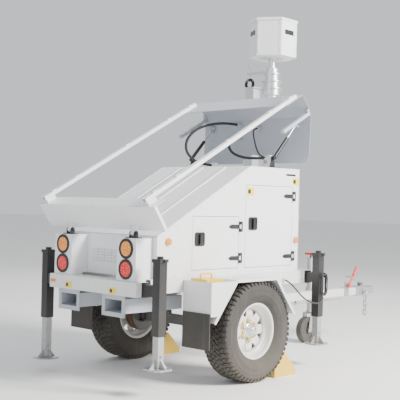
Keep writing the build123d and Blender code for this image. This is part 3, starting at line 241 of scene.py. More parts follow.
def peel_group() -> ShaderGroup:
    """Height of a powder coat's orange peel, or of another fine grain, at a stated scale."""
    group = ShaderGroup(
        "fine_grain",
        [("Vector", "NodeSocketVector", None), ("Scale", "NodeSocketFloat", 400.0),
         ("Waviness", "NodeSocketFloat", 0.3)],
        [("Height", "NodeSocketFloat")],
    )
    fine = group.node("ShaderNodeTexNoise", in3=2.0, in4=0.5)
    group.join(group.start.outputs["Vector"], fine.inputs[0])
    group.join(group.start.outputs["Scale"], fine.inputs[2])
    wide = group.node("ShaderNodeTexNoise", in2=5.0, in3=2.0)
    group.join(group.start.outputs["Vector"], wide.inputs[0])
    wave = math_node(group.tree, "MULTIPLY", wide.outputs[0], group.start.outputs["Waviness"])
    group.join(math_node(group.tree, "ADD", fine.outputs[0], wave), group.end.inputs[0])
    return group


def spangle_group() -> ShaderGroup:
    """Zinc crystals of galvanised steel: patches of slightly different grey and gloss."""
    group = ShaderGroup(
        "spangle",
        [("Vector", "NodeSocketVector", None), ("Scale", "NodeSocketFloat", 90.0),
         ("Light", "NodeSocketColor", (0.7, 0.72, 0.74, 1)),
         ("Dark", "NodeSocketColor", (0.5, 0.52, 0.54, 1))],
        [("Color", "NodeSocketColor"), ("Gloss", "NodeSocketFloat")],
    )
    cells = group.node("ShaderNodeTexVoronoi")
    group.join(group.start.outputs["Vector"], cells.inputs["Vector"])
    group.join(group.start.outputs["Scale"], cells.inputs["Scale"])
    tone = group.node("ShaderNodeSeparateColor")
    group.join(cells.outputs["Color"], tone.inputs[0])
    cloud = group.node("ShaderNodeTexNoise", in2=14.0, in3=4.0)
    group.join(group.start.outputs["Vector"], cloud.inputs[0])
    factor = math_node(group.tree, "MULTIPLY", tone.outputs[0], 0.55)
    factor = math_node(group.tree, "ADD", factor, math_node(group.tree, "MULTIPLY", cloud.outputs[0], 0.5),
                       clamp=True)
    group.join(mix_colour(group.tree, factor, group.start.outputs["Light"], group.start.outputs["Dark"]),
               group.end.inputs[0])
    group.join(factor, group.end.inputs[1])
    return group


GRIME = grime_group()
GRAIN = peel_group()
SPANGLE = spangle_group()


# ---------------------------------------------------------------- finishes
@dataclass(frozen=True)
class Finish:
    """A painted, moulded or metal surface with grain and road dust."""

    name: str
    colour: Colour
    roughness: float = 0.45
    metallic: float = 0.0
    grain_scale: float = 420.0
    grain_depth: float = 0.05
    waviness: float = 0.3
    dust: float = 0.25
    dust_height: float = 0.9
    dust_colour: Colour = (0.30, 0.26, 0.21)
    coat: float = 0.0
    edge_radius: float = 0.0
    spangle: float = 0.0
    specular: float = 0.5

    def build(self) -> bpy.types.Material:
        """Makes the material.

        Returns:
            The node material, in Object coordinates.
        """
        material = bpy.data.materials.new(self.name)
        material.use_nodes = True
        tree = material.node_tree
        shader = tree.nodes["Principled BSDF"]
        shader.inputs["Metallic"].default_value = self.metallic
        shader.inputs["Coat Weight"].default_value = self.coat
        shader.inputs["Coat Roughness"].default_value = 0.15
        shader.inputs["Specular IOR Level"].default_value = self.specular
        place = tree.nodes.new("ShaderNodeTexCoord").outputs["Object"]
        base: object = (*self.colour, 1.0)
        if self.spangle:
            zinc = add_node(tree, "ShaderNodeGroup", node_tree=SPANGLE.tree)
            zinc.inputs["Scale"].default_value = self.spangle
            zinc.inputs["Light"].default_value = base
            zinc.inputs["Dark"].default_value = (*[c * 0.68 for c in self.colour], 1.0)
            tree.links.new(place, zinc.inputs["Vector"])
            base = zinc.outputs["Color"]
        dirt = add_node(tree, "ShaderNodeGroup", node_tree=GRIME.tree)
        dirt.inputs["Amount"].default_value = self.dust
        dirt.inputs["Dust Height"].default_value = self.dust_height
        dirt.inputs["Dust"].default_value = (*self.dust_colour, 1.0)
        tree.links.new(place, dirt.inputs["Vector"])
        if isinstance(base, tuple):
            dirt.inputs["Base"].default_value = base
        else:
            tree.links.new(base, dirt.inputs["Base"])
        tree.links.new(dirt.outputs["Color"], shader.inputs["Base Color"])
        rough = math_node(tree, "MULTIPLY", dirt.outputs["Mask"], 0.5)
        tree.links.new(math_node(tree, "ADD", rough, self.roughness, clamp=True),
                       shader.inputs["Roughness"])
        grain = add_node(tree, "ShaderNodeGroup", node_tree=GRAIN.tree)
        grain.inputs["Scale"].default_value = self.grain_scale
        grain.inputs["Waviness"].default_value = self.waviness
        tree.links.new(place, grain.inputs["Vector"])
        bump = add_node(tree, "ShaderNodeBump")
        bump.inputs["Strength"].default_value = self.grain_depth
        bump.inputs["Distance"].default_value = 0.001
        tree.links.new(grain.outputs["Height"], bump.inputs["Height"])
        if self.edge_radius:
            soft = add_node(tree, "ShaderNodeBevel", samples=4)
            soft.inputs["Radius"].default_value = self.edge_radius
            tree.links.new(soft.outputs[0], bump.inputs["Normal"])
        tree.links.new(bump.outputs[0], shader.inputs["Normal"])
        return material


@dataclass(frozen=True)
class LensFinish:
    """Coloured translucent plastic of a lamp lens."""

    name: str
    colour: Colour
    glow: float = 0.25

    def build(self) -> bpy.types.Material:
        """Makes the material.

        Returns:
            The node material.
        """
        material = bpy.data.materials.new(self.name)
        material.use_nodes = True
        tree = material.node_tree
        shader = tree.nodes["Principled BSDF"]
        place = tree.nodes.new("ShaderNodeTexCoord").outputs["Object"]
        cells = add_node(tree, "ShaderNodeTexVoronoi")
        cells.inputs["Scale"].default_value = 95.0
        tree.links.new(place, cells.inputs["Vector"])
        pale = tuple(min(1.0, c * 1.35 + 0.05) for c in self.colour)
        dark = tuple(c * 0.62 for c in self.colour)
        spread = math_node(tree, "MULTIPLY", cells.outputs["Distance"], 1.6, clamp=True)
        tone = mix_colour(tree, spread, pale, dark)
        tree.links.new(tone, shader.inputs["Base Color"])
        tree.links.new(tone, shader.inputs["Emission Color"])
        shader.inputs["Emission Strength"].default_value = self.glow
        shader.inputs["Roughness"].default_value = 0.18
        shader.inputs["Coat Weight"].default_value = 0.6
        shader.inputs["Coat Roughness"].default_value = 0.05
        bump = add_node(tree, "ShaderNodeBump")
        bump.inputs["Strength"].default_value = 0.35
        bump.inputs["Distance"].default_value = 0.001
        tree.links.new(cells.outputs["Distance"], bump.inputs["Height"])
        tree.links.new(bump.outputs[0], shader.inputs["Normal"])
        return material


class Look(Enum):
    """Every finish on the trailer."""

    WHITE = Finish("white_powder_coat", (0.80, 0.81, 0.83), 0.38, grain_scale=700, grain_depth=0.06,
                   dust=0.16, edge_radius=0.003)
    WHITE_LOW = Finish("white_chassis_coat", (0.74, 0.75, 0.76), 0.42, grain_scale=700, grain_depth=0.06,
                       dust=0.34, edge_radius=0.003)
    RIM = Finish("white_rim_enamel", (0.80, 0.80, 0.79), 0.35, grain_scale=500, dust=0.34,
                 edge_radius=0.003, coat=0.2)
    # Bluish grey close to the tone of shaded rear-facing white sheet: on the frame plate it is painted
    # shade; the fork pockets and control cabinet share this grey.
    GREY = Finish("grey_powder_coat", (0.42, 0.45, 0.50), 0.42, grain_scale=700, grain_depth=0.06,
                  dust=0.12, edge_radius=0.003)
    DARK_GREY = Finish("axle_grey", (0.085, 0.09, 0.10), 0.5, grain_scale=300, grain_depth=0.1, dust=0.4,
                       edge_radius=0.003)
    BLACK = Finish("black_powder_coat", (0.016, 0.016, 0.018), 0.42, grain_scale=900, grain_depth=0.12,
                   dust=0.1, edge_radius=0.002)
    BLACK_PLASTIC = Finish("black_plastic", (0.015, 0.015, 0.016), 0.36, grain_scale=1100, grain_depth=0.18,
                           dust=0.08, edge_radius=0.002)
    ZINC = Finish("galvanised_steel", (0.62, 0.64, 0.66), 0.42, 0.85, grain_scale=240, grain_depth=0.1,
                  dust=0.22, spangle=130, edge_radius=0.002)
    BRIGHT = Finish("bright_zinc", (0.74, 0.75, 0.77), 0.28, 0.95, grain_scale=600, grain_depth=0.06,
                    dust=0.1, edge_radius=0.001)
    ALUMINIUM = Finish("mast_aluminium", (0.74, 0.75, 0.77), 0.34, 0.9, grain_scale=260, grain_depth=0.08,
                       dust=0.1, edge_radius=0.002)
    TYRE = Finish("tread_rubber", (0.022, 0.022, 0.023), 0.72, grain_scale=380, grain_depth=0.35, dust=0.4,
                  dust_height=0.85, dust_colour=(0.17, 0.15, 0.12))
    RUBBER = Finish("moulded_rubber", (0.02, 0.02, 0.021), 0.62, grain_scale=500, grain_depth=0.3, dust=0.2,
                    edge_radius=0.002)
    YELLOW = Finish("yellow_moulding", (0.86, 0.56, 0.02), 0.42, grain_scale=800, grain_depth=0.25,
                    dust=0.25, edge_radius=0.003)
    YELLOW_LABEL = Finish("yellow_film", (0.90, 0.66, 0.05), 0.3, grain_scale=900, grain_depth=0.02,
                          dust=0.12)
    # Black film for printed blocks and head plates; the same black also paints the shadow in the slope's
    # gap.
    BLACK_FILM_AND_SHADOW = Finish("black_film", (0.02, 0.021, 0.024), 0.3, grain_scale=900, grain_depth=0.02,
                         dust=0.08)
    RED = Finish("red_grip", (0.62, 0.03, 0.02), 0.4, grain_scale=900, grain_depth=0.2, dust=0.12,
                 edge_radius=0.002)
    AMBER_FILM = Finish("amber_film", (0.80, 0.24, 0.02), 0.25, grain_scale=1400, grain_depth=0.3, dust=0.1,
                        coat=0.5)
    CABLE = Finish("cable_jacket", (0.018, 0.018, 0.02), 0.5, grain_scale=700, grain_depth=0.15, dust=0.06)
    RUST = Finish("brake_drum", (0.17, 0.085, 0.045), 0.75, 0.3, grain_scale=260, grain_depth=0.5,
                  dust=0.35)
    AMBER_LENS = LensFinish("amber_lens", (0.95, 0.30, 0.03), 0.35)
    RED_LENS = LensFinish("red_lens", (0.75, 0.02, 0.015), 0.3)


MATERIALS: dict[Look, bpy.types.Material] = {look: look.value.build() for look in Look}

NODE_LOOKS: dict[str, Look] = {
    "chassis_frame": Look.WHITE_LOW, "fork_pockets": Look.GREY, "drawbar": Look.WHITE_LOW,
    "axle_beam": Look.DARK_GREY,
    "leaf_springs": Look.BLACK, "mudguards": Look.WHITE_LOW, "mudflaps": Look.RUBBER,
    "stowed_chocks": Look.YELLOW,
    "jack_sleeves": Look.BLACK, "jockey_tube": Look.ZINC, "coupling": Look.ZINC, "top_cover": Look.WHITE,
    "body_tub": Look.WHITE, "side_panel_right": Look.WHITE, "side_panel_left": Look.WHITE,
    "hinge_leaves": Look.BLACK,
    "battery_bank": Look.BLACK_PLASTIC, "control_cabinet": Look.GREY, "lamp_boxes": Look.WHITE,
    "lamp_grommets": Look.RUBBER, "amber_lenses": Look.AMBER_LENS, "red_lenses": Look.RED_LENS,
    "frame_pivots": Look.BLACK, "mast_base": Look.ALUMINIUM,
    "tyre_right": Look.TYRE, "tyre_left": Look.TYRE, "rim_right": Look.RIM, "rim_left": Look.RIM,
    "door_rear": Look.WHITE, "door_front": Look.WHITE, "latch_rear": Look.BLACK_PLASTIC,
    "latch_front": Look.BLACK_PLASTIC, "jack_leg_rear_left": Look.ZINC, "jack_leg_rear_right": Look.ZINC,
    "jack_leg_front_left": Look.ZINC, "jack_leg_front_right": Look.ZINC, "jockey_handle": Look.RED,
    "jockey_leg": Look.ZINC, "jockey_fork": Look.ZINC, "jockey_wheel": Look.RUBBER,
    "coupling_handle": Look.ZINC,
    "handbrake_lever": Look.RED, "mast_stage_1": Look.ALUMINIUM, "mast_stage_2": Look.ALUMINIUM,
    "mast_stage_3": Look.ALUMINIUM, "head_enclosure": Look.WHITE,
    # The frame plate faces rearwards; its grey is painted shade.
    "solar_frame": Look.WHITE, "frame_plate": Look.GREY, "strut_body_right": Look.BLACK,
    "strut_body_left": Look.BLACK, "strut_rod_right": Look.BRIGHT, "strut_rod_left": Look.BRIGHT,
    "chock_right": Look.YELLOW, "chock_left": Look.YELLOW,
}


def dress(thing: bpy.types.Object, look: Look) -> None:
    """Gives an object one material, replacing what its slots held."""
    while len(thing.data.materials) > 1:
        thing.data.materials.pop()
    if thing.data.materials:
        thing.material_slots[0].material = MATERIALS[look]
    else:
        thing.data.materials.append(MATERIALS[look])


def dress_frame() -> None:
    """Puts a finish on every CAD node that stays in view."""
    for node, look in NODE_LOOKS.items():
        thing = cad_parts[node]
        for slot in thing.material_slots:
            slot.material = MATERIALS[look]
    LOG.info("dressed %d frame nodes", len(NODE_LOOKS))


# ---------------------------------------------------------------- mesh tools
def add_block(mesh: bmesh.types.BMesh, low: Vector, high: Vector) -> list[bmesh.types.BMVert]:
    """Adds a box between two corners and returns its vertices."""
    size = high - low
    shape = Matrix.Translation((low + high) / 2) @ Matrix.Diagonal((abs(size.x), abs(size.y), abs(size.z),
                                                                    1.0))
    return bmesh.ops.create_cube(mesh, size=1.0, matrix=shape)["verts"]


def add_rod(mesh: bmesh.types.BMesh, start: Vector, end: Vector, radius: float, tip: float | None = None,
            segments: int = 24) -> list[bmesh.types.BMVert]:
    """Adds a round bar, or a cone where tip is given.

    Args:
        mesh: The mesh that takes it.
        start: Middle of its first end.
        end: Middle of its other end.
        radius: Radius at the start, in metres.
        tip: Radius at the end, or None for the same.
        segments: Faces round it.

    Returns:
        Its vertices.
    """
    line = end - start
    turn = line.to_track_quat("Z", "Y").to_matrix().to_4x4()
    shape = Matrix.Translation((start + end) / 2) @ turn
    made = bmesh.ops.create_cone(mesh, cap_ends=True, segments=segments, radius1=radius,
                                 radius2=radius if tip is None else tip, depth=line.length, matrix=shape)
    return made["verts"]


def add_spun(mesh: bmesh.types.BMesh, outline: Sequence[tuple[float, float]], centre: Vector, axis: Vector,
             steps: int = 72, closed: bool = True) -> None:
    """Adds a ring or a turned solid.

    Args:
        mesh: The mesh that takes it.
        outline: (distance along the axis, radius) points in millimetres, in order.
        centre: Point on the axis that the distances start from.
        axis: Unit direction of the axis.
        steps: Faces round it.
        closed: Whether the outline's last point joins its first.
    """
    side = axis.orthogonal().normalized()
    points = [mesh.verts.new(centre + axis * (along / 1000) + side * (radius / 1000)) for along,
              radius in outline]
    pairs = list(zip(points, points[1:]))
    if closed:
        pairs.append((points[-1], points[0]))
    edges = [mesh.edges.new(pair) for pair in pairs]
    bmesh.ops.spin(mesh, geom=points + edges, cent=centre, axis=axis, dvec=(0, 0, 0), angle=math.tau,
                   steps=steps,
                   use_merge=True, use_normal_flip=False, use_duplicate=False)
    bmesh.ops.remove_doubles(mesh, verts=mesh.verts, dist=1e-6)


def add_prism(mesh: bmesh.types.BMesh, outline: Iterable[Vector], depth: Vector) -> None:
    """Adds a prism: a flat outline drawn out along depth."""
    face = mesh.faces.new([mesh.verts.new(point) for point in outline])
    made = bmesh.ops.extrude_face_region(mesh, geom=[face])
    moved = [part for part in made["geom"] if isinstance(part, bmesh.types.BMVert)]
    bmesh.ops.translate(mesh, verts=moved, vec=depth)


def round_edges(mesh: bmesh.types.BMesh, width: float, segments: int = 2, sharper: float = 30.0) -> None:
    """Bevels every edge between faces that turn by more than an angle in degrees."""
    bmesh.ops.remove_doubles(mesh, verts=mesh.verts, dist=1e-6)
    bmesh.ops.recalc_face_normals(mesh, faces=mesh.faces)
    turn = math.radians(sharper)
    edges = [edge for edge in mesh.edges if len(edge.link_faces) == 2 and edge.calc_face_angle() > turn]
    bmesh.ops.bevel(mesh, geom=edges, offset=width, offset_type="OFFSET", affect="EDGES", segments=segments,
                    profile=0.5, material=-1, clamp_overlap=True)


def link_mesh(name: str, mesh: bmesh.types.BMesh) -> bpy.types.Object:
    """Turns a bmesh into an object at the origin and frees it."""
    data = bpy.data.meshes.new(name)
    mesh.to_mesh(data)
    mesh.free()
    thing = bpy.data.objects.new(name, data)
    bpy.context.scene.collection.objects.link(thing)
    return thing


def carve(mesh: bmesh.types.BMesh, cutter: bmesh.types.BMesh) -> bmesh.types.BMesh:
    """Cuts one closed mesh out of another and returns the rest; both are used up."""
    for shape in (mesh, cutter):
        bmesh.ops.recalc_face_normals(shape, faces=shape.faces)
    body, tool = link_mesh("carved", mesh), link_mesh("carver", cutter)
    cut = body.modifiers.new("cut", "BOOLEAN")
    cut.operation, cut.solver, cut.object = "DIFFERENCE", "EXACT", tool
    bpy.context.view_layer.update()
    rest = bmesh.new()
    rest.from_mesh(body.evaluated_get(bpy.context.evaluated_depsgraph_get()).to_mesh())
    for thing in (body, tool):
        bpy.data.meshes.remove(thing.data)
    return rest


def fit(name: str, mesh: bmesh.types.BMesh, look: "Look", body: Body,
        replaces: Sequence[str] = (),
        rounding: float = 0.0, segments: int = 2, smooth: float = 40.0) -> bpy.types.Object:
    """Finishes a piece: rounds its edges, dresses it and lets it ride on its body.

    Args:
        name: The piece's name.
        mesh: Its mesh, which is used up.
        look: Its finish.
        body: The body that it rides on.
        replaces: CAD nodes that it stands for.
        rounding: Edge rounding in metres, or 0.
        segments: Faces across a rounded edge.
        smooth: Faces that turn by less than this many degrees are shaded as one surface.

    Returns:
        The piece.
    """
    if rounding:
        round_edges(mesh, rounding, segments)
    bmesh.ops.recalc_face_normals(mesh, faces=mesh.faces)
    for face in mesh.faces:
        face.smooth = True
    piece = link_mesh(name, mesh)
    piece.data.set_sharp_from_angle(angle=math.radians(smooth))
    dress(piece, look)
    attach(piece, body.value)
    if replaces:
        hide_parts(*replaces)
    LOG.info("fitted %s", name)
    return piece


# ---------------------------------------------------------------- stage
@dataclass(frozen=True)
class Studio:
    """Camera, floor and soft lights."""

    eye: Point = (4.7017, -5.6626, 1.2648)
    across: Point = (0.725477, 0.687808, 0.024553)
    up: Point = (-0.01442, -0.020477, 0.999686)
    focal: float = 78.63
    floor_half: float = 60.0

    def build(self) -> None:
        """Makes the camera, the floor, the world and the lights."""
        self.add_camera()
        self.add_floor()
        self.add_world()
        self.add_light("key", (7.0, 1.5, 5.2), (0.1, -0.3, 1.1), 2.6, 2100.0, (1.0, 0.97, 0.92))
        self.add_light("fill", (1.5, -8.5, 3.0), (0.0, 0.0, 1.0), 5.0, 90.0, (0.92, 0.95, 1.0))
        self.add_light("back", (-5.5, 4.0, 5.5), (0.0, 0.0, 1.2), 5.0, 160.0, (0.95, 0.97, 1.0))

    def add_camera(self) -> None:
        """Makes the camera at its place and turn."""
        data = bpy.data.cameras.new("camera")
        data.lens = self.focal
        data.sensor_width = 36.0
        data.clip_end = 200.0
        camera = bpy.data.objects.new("camera", data)
        x, y = Vector(self.across).normalized(), Vector(self.up).normalized()
        z = x.cross(y)
        turn = Matrix((x, y, z)).transposed().to_4x4()
        camera.matrix_world = Matrix.Translation(Vector(self.eye)) @ turn
        bpy.context.scene.collection.objects.link(camera)
        bpy.context.scene.camera = camera

    def add_floor(self) -> None:
        """Makes the plain pale floor."""
        mesh = bmesh.new()
        bmesh.ops.create_grid(mesh, x_segments=1, y_segments=1, size=self.floor_half)
        data = bpy.data.meshes.new("floor")
        mesh.to_mesh(data)
        mesh.free()
        floor = bpy.data.objects.new("floor", data)
        bpy.context.scene.collection.objects.link(floor)
        material = bpy.data.materials.new("pale_floor")
        material.use_nodes = True
        shader = material.node_tree.nodes["Principled BSDF"]
        shader.inputs["Base Color"].default_value = (0.86, 0.86, 0.85, 1)
        shader.inputs["Roughness"].default_value = 0.9
        data.materials.append(material)

    def add_world(self) -> None:
        """Makes the plain pale surroundings."""
        world = bpy.data.worlds.new("studio")
        world.use_nodes = True
        ground = world.node_tree.nodes["Background"]
        ground.inputs[0].default_value = (0.93, 0.95, 0.98, 1)
        ground.inputs[1].default_value = 0.85
        bpy.context.scene.world = world

    def add_light(self, name: str, place: Point, aim: Point, size: float, power: float,
                  colour: Colour) -> None:
        """Adds one soft square light.

        Args:
            name: The light's name.
            place: Where it stands, in metres.
            aim: The point it faces.
            size: The side of its square, in metres.
            power: Its power in watts.
            colour: Its colour.
        """
        data = bpy.data.lights.new(name, "AREA")
        data.size = size
        data.energy = power
        data.color = colour
        lamp = bpy.data.objects.new(name, data)
        lamp.location = place
        lamp.rotation_euler = (Vector(aim) - Vector(place)).to_track_quat("-Z", "Y").to_euler()
        bpy.context.scene.collection.objects.link(lamp)


# ---------------------------------------------------------------- wheels
@dataclass(frozen=True)
class Wheel:
    """Tyre with an all-terrain tread, dished rim with eight windows, hub, nuts and their yellow markers."""

    side: str
    body: Body
    x: float
    outward: float
    axle_y: float = 42.0
    radius: float = 366.5
    tread_depth: float = 10.0
    pitches: int = 58
    window_count: int = 8
    stud_count: int = 6
    stud_circle: float = 69.85

    @property
    def centre(self) -> Vector:
        """Middle of the wheel."""
        return spot(self.x, self.axle_y, self.radius)

    @property
    def axis(self) -> Vector:
        """Unit direction from the middle to the outer face."""
        return Vector((self.outward, 0, 0))

    def build(self) -> None:
        """Makes every piece of the wheel."""
        self.build_tyre()
        self.build_rim()
        self.build_hub()
        self.build_markers()
        self.build_drum()

    def turned_place(self, angle: float, reach: float, along: float) -> Matrix:
        """Frame of a part on the tyre: X along the axle, Y round it, Z outwards.

        Args:
            angle: Angle round the axle in radians.
            reach: Distance from the axle in millimetres.
            along: Distance from the wheel's middle along X in millimetres.

        Returns:
            The frame as a matrix.
        """
        out = Vector((0, math.sin(angle), math.cos(angle)))
        round_it = Vector((0, math.cos(angle), -math.sin(angle)))
        basis = Matrix((Vector((1, 0, 0)), round_it, out)).transposed().to_4x4()
        return Matrix.Translation(self.centre + out * (reach / 1000) + Vector((along / 1000, 0, 0))) @ basis

    def add_tread_block(self, mesh: bmesh.types.BMesh, angle: float, along: float, size: Point,
                        shear: float,
                        reach: float, tilt: float = 0.0) -> None:
        """Adds one sheared tread block.

        Args:
            mesh: The mesh that takes it.
            angle: Angle round the axle in radians.
            along: Its middle along X in millimetres.
            size: Width, length and height in millimetres.
            shear: How far its length shifts for each millimetre of width.
            reach: Radius of its top in millimetres.
            tilt: Lean towards the sidewall in degrees.
        """
        width, length, height = (value / 1000 for value in size)
        place = self.turned_place(angle, reach - size[2] / 2, along)
        lean = Matrix.Rotation(math.radians(tilt), 4, "Y")
        slant = Matrix(((1, 0, 0, 0), (shear, 1, 0, 0), (0, 0, 1, 0), (0, 0, 0, 1)))
        shape = place @ lean @ slant @ Matrix.Diagonal((width, length, height, 1))
        bmesh.ops.create_cube(mesh, size=1.0, matrix=shape)

    def build_tyre(self) -> None:
        """Makes the carcass, its sidewall ribs and the tread."""
        base = self.radius - self.tread_depth
        half = [(74, 186.3), (79, 193), (84, 206), (96, 218), (108, 236), (114.5, 258), (116, 262),
                (116, 268),
                (114.8, 271), (115.5, 290), (114, 310), (111.5, 313), (110.5, 319), (108, 334), (100, 348),
                (88, base)]
        inside = [(-60, 196), (-98, 250), (-98, 312), (-70, 336), (70, 336), (98, 312), (98, 250),
                  (60, 196)]
        mesh = bmesh.new()
        add_spun(mesh, half + [(-x, r) for x, r in reversed(half)] + inside, self.centre, Vector((1, 0, 0)),
                 128)
        step = math.tau / self.pitches
        for index in range(self.pitches):
            angle = index * step
            flip = 1 if index % 2 else -1
            self.add_tread_block(mesh, angle, 0, (26, 25, 12), 0.75 * flip, 365.6)
            for sign in (1, -1):
                self.add_tread_block(mesh, angle + step * 0.35, sign * 31, (29, 29, 12), -0.5 * sign, 365.7)
                self.add_tread_block(mesh, angle + step * 0.75, sign * 66, (34, 28 + 3 * flip, 12),
                                     0.32 * sign, 364.6, sign * 3)
                self.add_tread_block(mesh, angle + step * 0.75, sign * 95, (25 + 4 * flip, 25, 13),
                                     0.1 * sign, 360.6, sign * 24)
                self.add_tread_block(mesh, angle + step * 0.75, sign * (106.5 + 0.5 * flip),
                                     (22, 17 - 3 * flip, 9), 0, 350, sign * 66)
        fit(f"tyre_{self.side}_tread", mesh, Look.TYRE, self.body, (f"tyre_{self.side}",),
            smooth=32)

    def build_rim(self) -> None:
        """Makes the drop-centre barrel and the dished disc with its windows."""
        mesh = bmesh.new()
        barrel = [(84, 200), (81, 203.5), (77, 203.5), (75, 200), (75, 190), (71, 186), (30, 186),
                  (16, 163), (-25, 163),
                  (-40, 186), (-71, 186), (-75, 190), (-75, 200), (-77, 203.5), (-81, 203.5), (-84, 200),
                  (-80, 184),
                  (-68, 180), (-43, 180), (-28, 157), (20, 157), (34, 175), (44, 177), (48, 182), (70, 183),
                  (79, 188)]
        add_spun(mesh, barrel, self.centre, self.axis, 96)
        disc = bmesh.new()
        dish = [(7, 40), (8, 92), (13, 104), (18, 112), (18, 138), (12, 150), (2, 158), (-6, 158), (5, 149),
                (11, 137),
                (11, 113), (5, 104), (0, 94), (0, 40)]
        add_spun(disc, dish, self.centre, self.axis, 96)
        cutter = bmesh.new()
        for index in range(self.window_count):
            place = self.turned_place((index + 0.5) * math.tau / self.window_count, 0, 0)
            corners = [(-24, 148), (24, 148), (27, 143), (4, 104), (-4, 104), (-27, 143)]
            outline = [place @ Vector((-0.04 * self.outward, across / 1000, out / 1000)) for across,
                       out in corners]
            add_prism(cutter, outline, self.axis * 0.09)
        disc = carve(disc, cutter)
        kept = bpy.data.meshes.new("disc")
        disc.to_mesh(kept)
        disc.free()
        mesh.from_mesh(kept)
        bpy.data.meshes.remove(kept)
        fit(f"rim_{self.side}_dish", mesh, Look.RIM, self.body, (f"rim_{self.side}",), smooth=34)

    def build_hub(self) -> None:
        """Makes the hub, its grease cap, the studs and the nuts."""
        mesh = bmesh.new()
        hub = [(-60, 0), (-60, 56), (9, 57), (22, 54), (26, 48), (26, 37), (34, 35), (36, 31), (60, 30),
               (66, 27),
               (68, 22), (68, 14), (72, 12), (72, 0)]
        add_spun(mesh, hub, self.centre, self.axis, 48, closed=False)
        for index in range(self.stud_count):
            place = self.turned_place(index * math.tau / self.stud_count, self.stud_circle, 0).translation
            add_rod(mesh, place + self.axis * 0.006, place + self.axis * 0.030, 0.0125, segments=6)
            add_rod(mesh, place + self.axis * 0.029, place + self.axis * 0.042, 0.0068, 0.0062, 16)
            add_rod(mesh, place + self.axis * 0.006, place + self.axis * 0.012, 0.0155, 0.0135, 20)
        fit(f"hub_{self.side}", mesh, Look.BRIGHT, self.body, rounding=0.0006, segments=1)

    def build_markers(self) -> None:
        """Makes the yellow loose-nut markers, each a ring with a pointer."""
        mesh = bmesh.new()
        for index in range(self.stud_count):
            angle = index * math.tau / self.stud_count
            place = self.turned_place(angle, self.stud_circle, 0).translation
            add_spun(mesh, [(14, 13.2), (14, 20), (22, 18.5), (22, 13.2)], place, self.axis, 20)
            turn = Matrix.Rotation(0.55 * (1 if index % 2 else -1), 4, "X")
            frame_here = self.turned_place(angle, self.stud_circle, 18 * self.outward) @ turn
            shape = frame_here @ Matrix.Translation((0, 0.024, 0)) @ Matrix.Diagonal((0.007, 0.016, 0.012,
                                                                                      1))
            bmesh.ops.create_cube(mesh, size=1.0, matrix=shape)
        fit(f"nut_markers_{self.side}", mesh, Look.YELLOW, self.body, smooth=50)

    def build_drum(self) -> None:
        """Makes the brake drum seen from the inside."""
        mesh = bmesh.new()
        drum = [(-64, 50), (-64, 118), (-70, 126), (-112, 126), (-114, 130), (-132, 130), (-134, 126),
                (-134, 116),
                (-120, 116), (-120, 50)]
        add_spun(mesh, drum, self.centre, self.axis, 72)
        fit(f"drum_{self.side}", mesh, Look.RUST, self.body, smooth=30)


# ---------------------------------------------------------------- fittings
@dataclass(frozen=True)
class SideDoor:
    """Black straps, knuckles and latch surround of one side door."""

    name: str
    body: Body
    pin_y: float
    hinge_heights: tuple[float, float]
    latch: tuple[float, float]
    face: float = 476.0
    strap_length: float = 115.0

    def build(self) -> None:
        """Makes the straps with their knuckles and the latch surround."""
        mesh = bmesh.new()
        for height in self.hinge_heights:
            outline = [(-1.5, 15.6), (-92, 15.6), (-self.strap_length - 1, 4), (-self.strap_length - 1, -4),
                       (-92, -15.6), (-1.5, -15.6)]
            points = [spot(self.face + 0.6, self.pin_y + along, height + up) for along, up in outline]
            add_prism(mesh, points, Vector((0.0042, 0, 0)))
            for along in (-30, -58, -86):
                middle = spot(self.face + 4.6, self.pin_y + along, height)
                add_rod(mesh, middle, middle + Vector((0.0028, 0, 0)), 0.0062, 0.0042, 14)
        fit(f"straps_{self.name}", mesh, Look.BLACK, self.body, rounding=0.0004, segments=1)
        self.build_surround()

    def build_surround(self) -> None:
        """Makes the latch's rounded square ring and the dark floor of its dish."""
        y, z = self.latch
        mesh = bmesh.new()
        add_block(mesh, spot(self.face + 0.5, y - 48.6, z - 48.6), spot(self.face + 8, y + 48.6, z + 48.6))
        upright = [edge for edge in mesh.edges if abs((edge.verts[0].co - edge.verts[1].co).x) > 0.001]
        bmesh.ops.bevel(mesh, geom=upright, offset=0.016, offset_type="OFFSET", affect="EDGES", segments=6,
                        profile=0.5,
                        material=-1, clamp_overlap=True)
        hole = bmesh.new()
        add_rod(hole, spot(self.face - 5, y, z), spot(self.face + 20, y, z), 0.0415, segments=48)
        mesh = carve(mesh, hole)
        add_rod(mesh, spot(self.face + 5.6, y, z), spot(self.face + 6.15, y, z), 0.0415, segments=48)
        fit(f"latch_surround_{self.name}", mesh, Look.BLACK_PLASTIC, self.body,
            rounding=0.0005, segments=1)


@dataclass(frozen=True)
class FilmLabel:
    """A plain rectangle of film on a flat sheet, with an optional dark block on it."""

    name: str
    body: Body
    look: Look
    slot: Slot
    centre: tuple[float, float, float]
    size: tuple[float, float]
    outward: tuple[float, float, float]
    block: bool = False

    def build(self) -> None:
        """Makes the film, and the block where it has one."""
        self.add_film(self.name, self.look, self.size, 0.0, 0.6)
        if self.block:
            width, height = self.size
            self.add_film(self.name + "_block", Look.BLACK_FILM_AND_SHADOW,
                          (height * 0.55, height * 0.55), -width * 0.2, 0.8)

    def add_film(self, name: str, look: Look, size: tuple[float, float], shift: float,
                 proud: float) -> None:
        """Adds one flat film that stands proud of the sheet by a distance in millimetres."""
        out = Vector(self.outward)
        across = Vector((0, 0, 1)).cross(out).normalized()
        middle = spot(*self.centre) + across * (shift / 1000)
        half = across * (size[0] / 2000) + Vector((0, 0, size[1] / 2000))
        mesh = bmesh.new()
        add_block(mesh, middle - half - out * 0.0003, middle + half + out * (proud / 1000))
        fit(name, mesh, look, self.body)


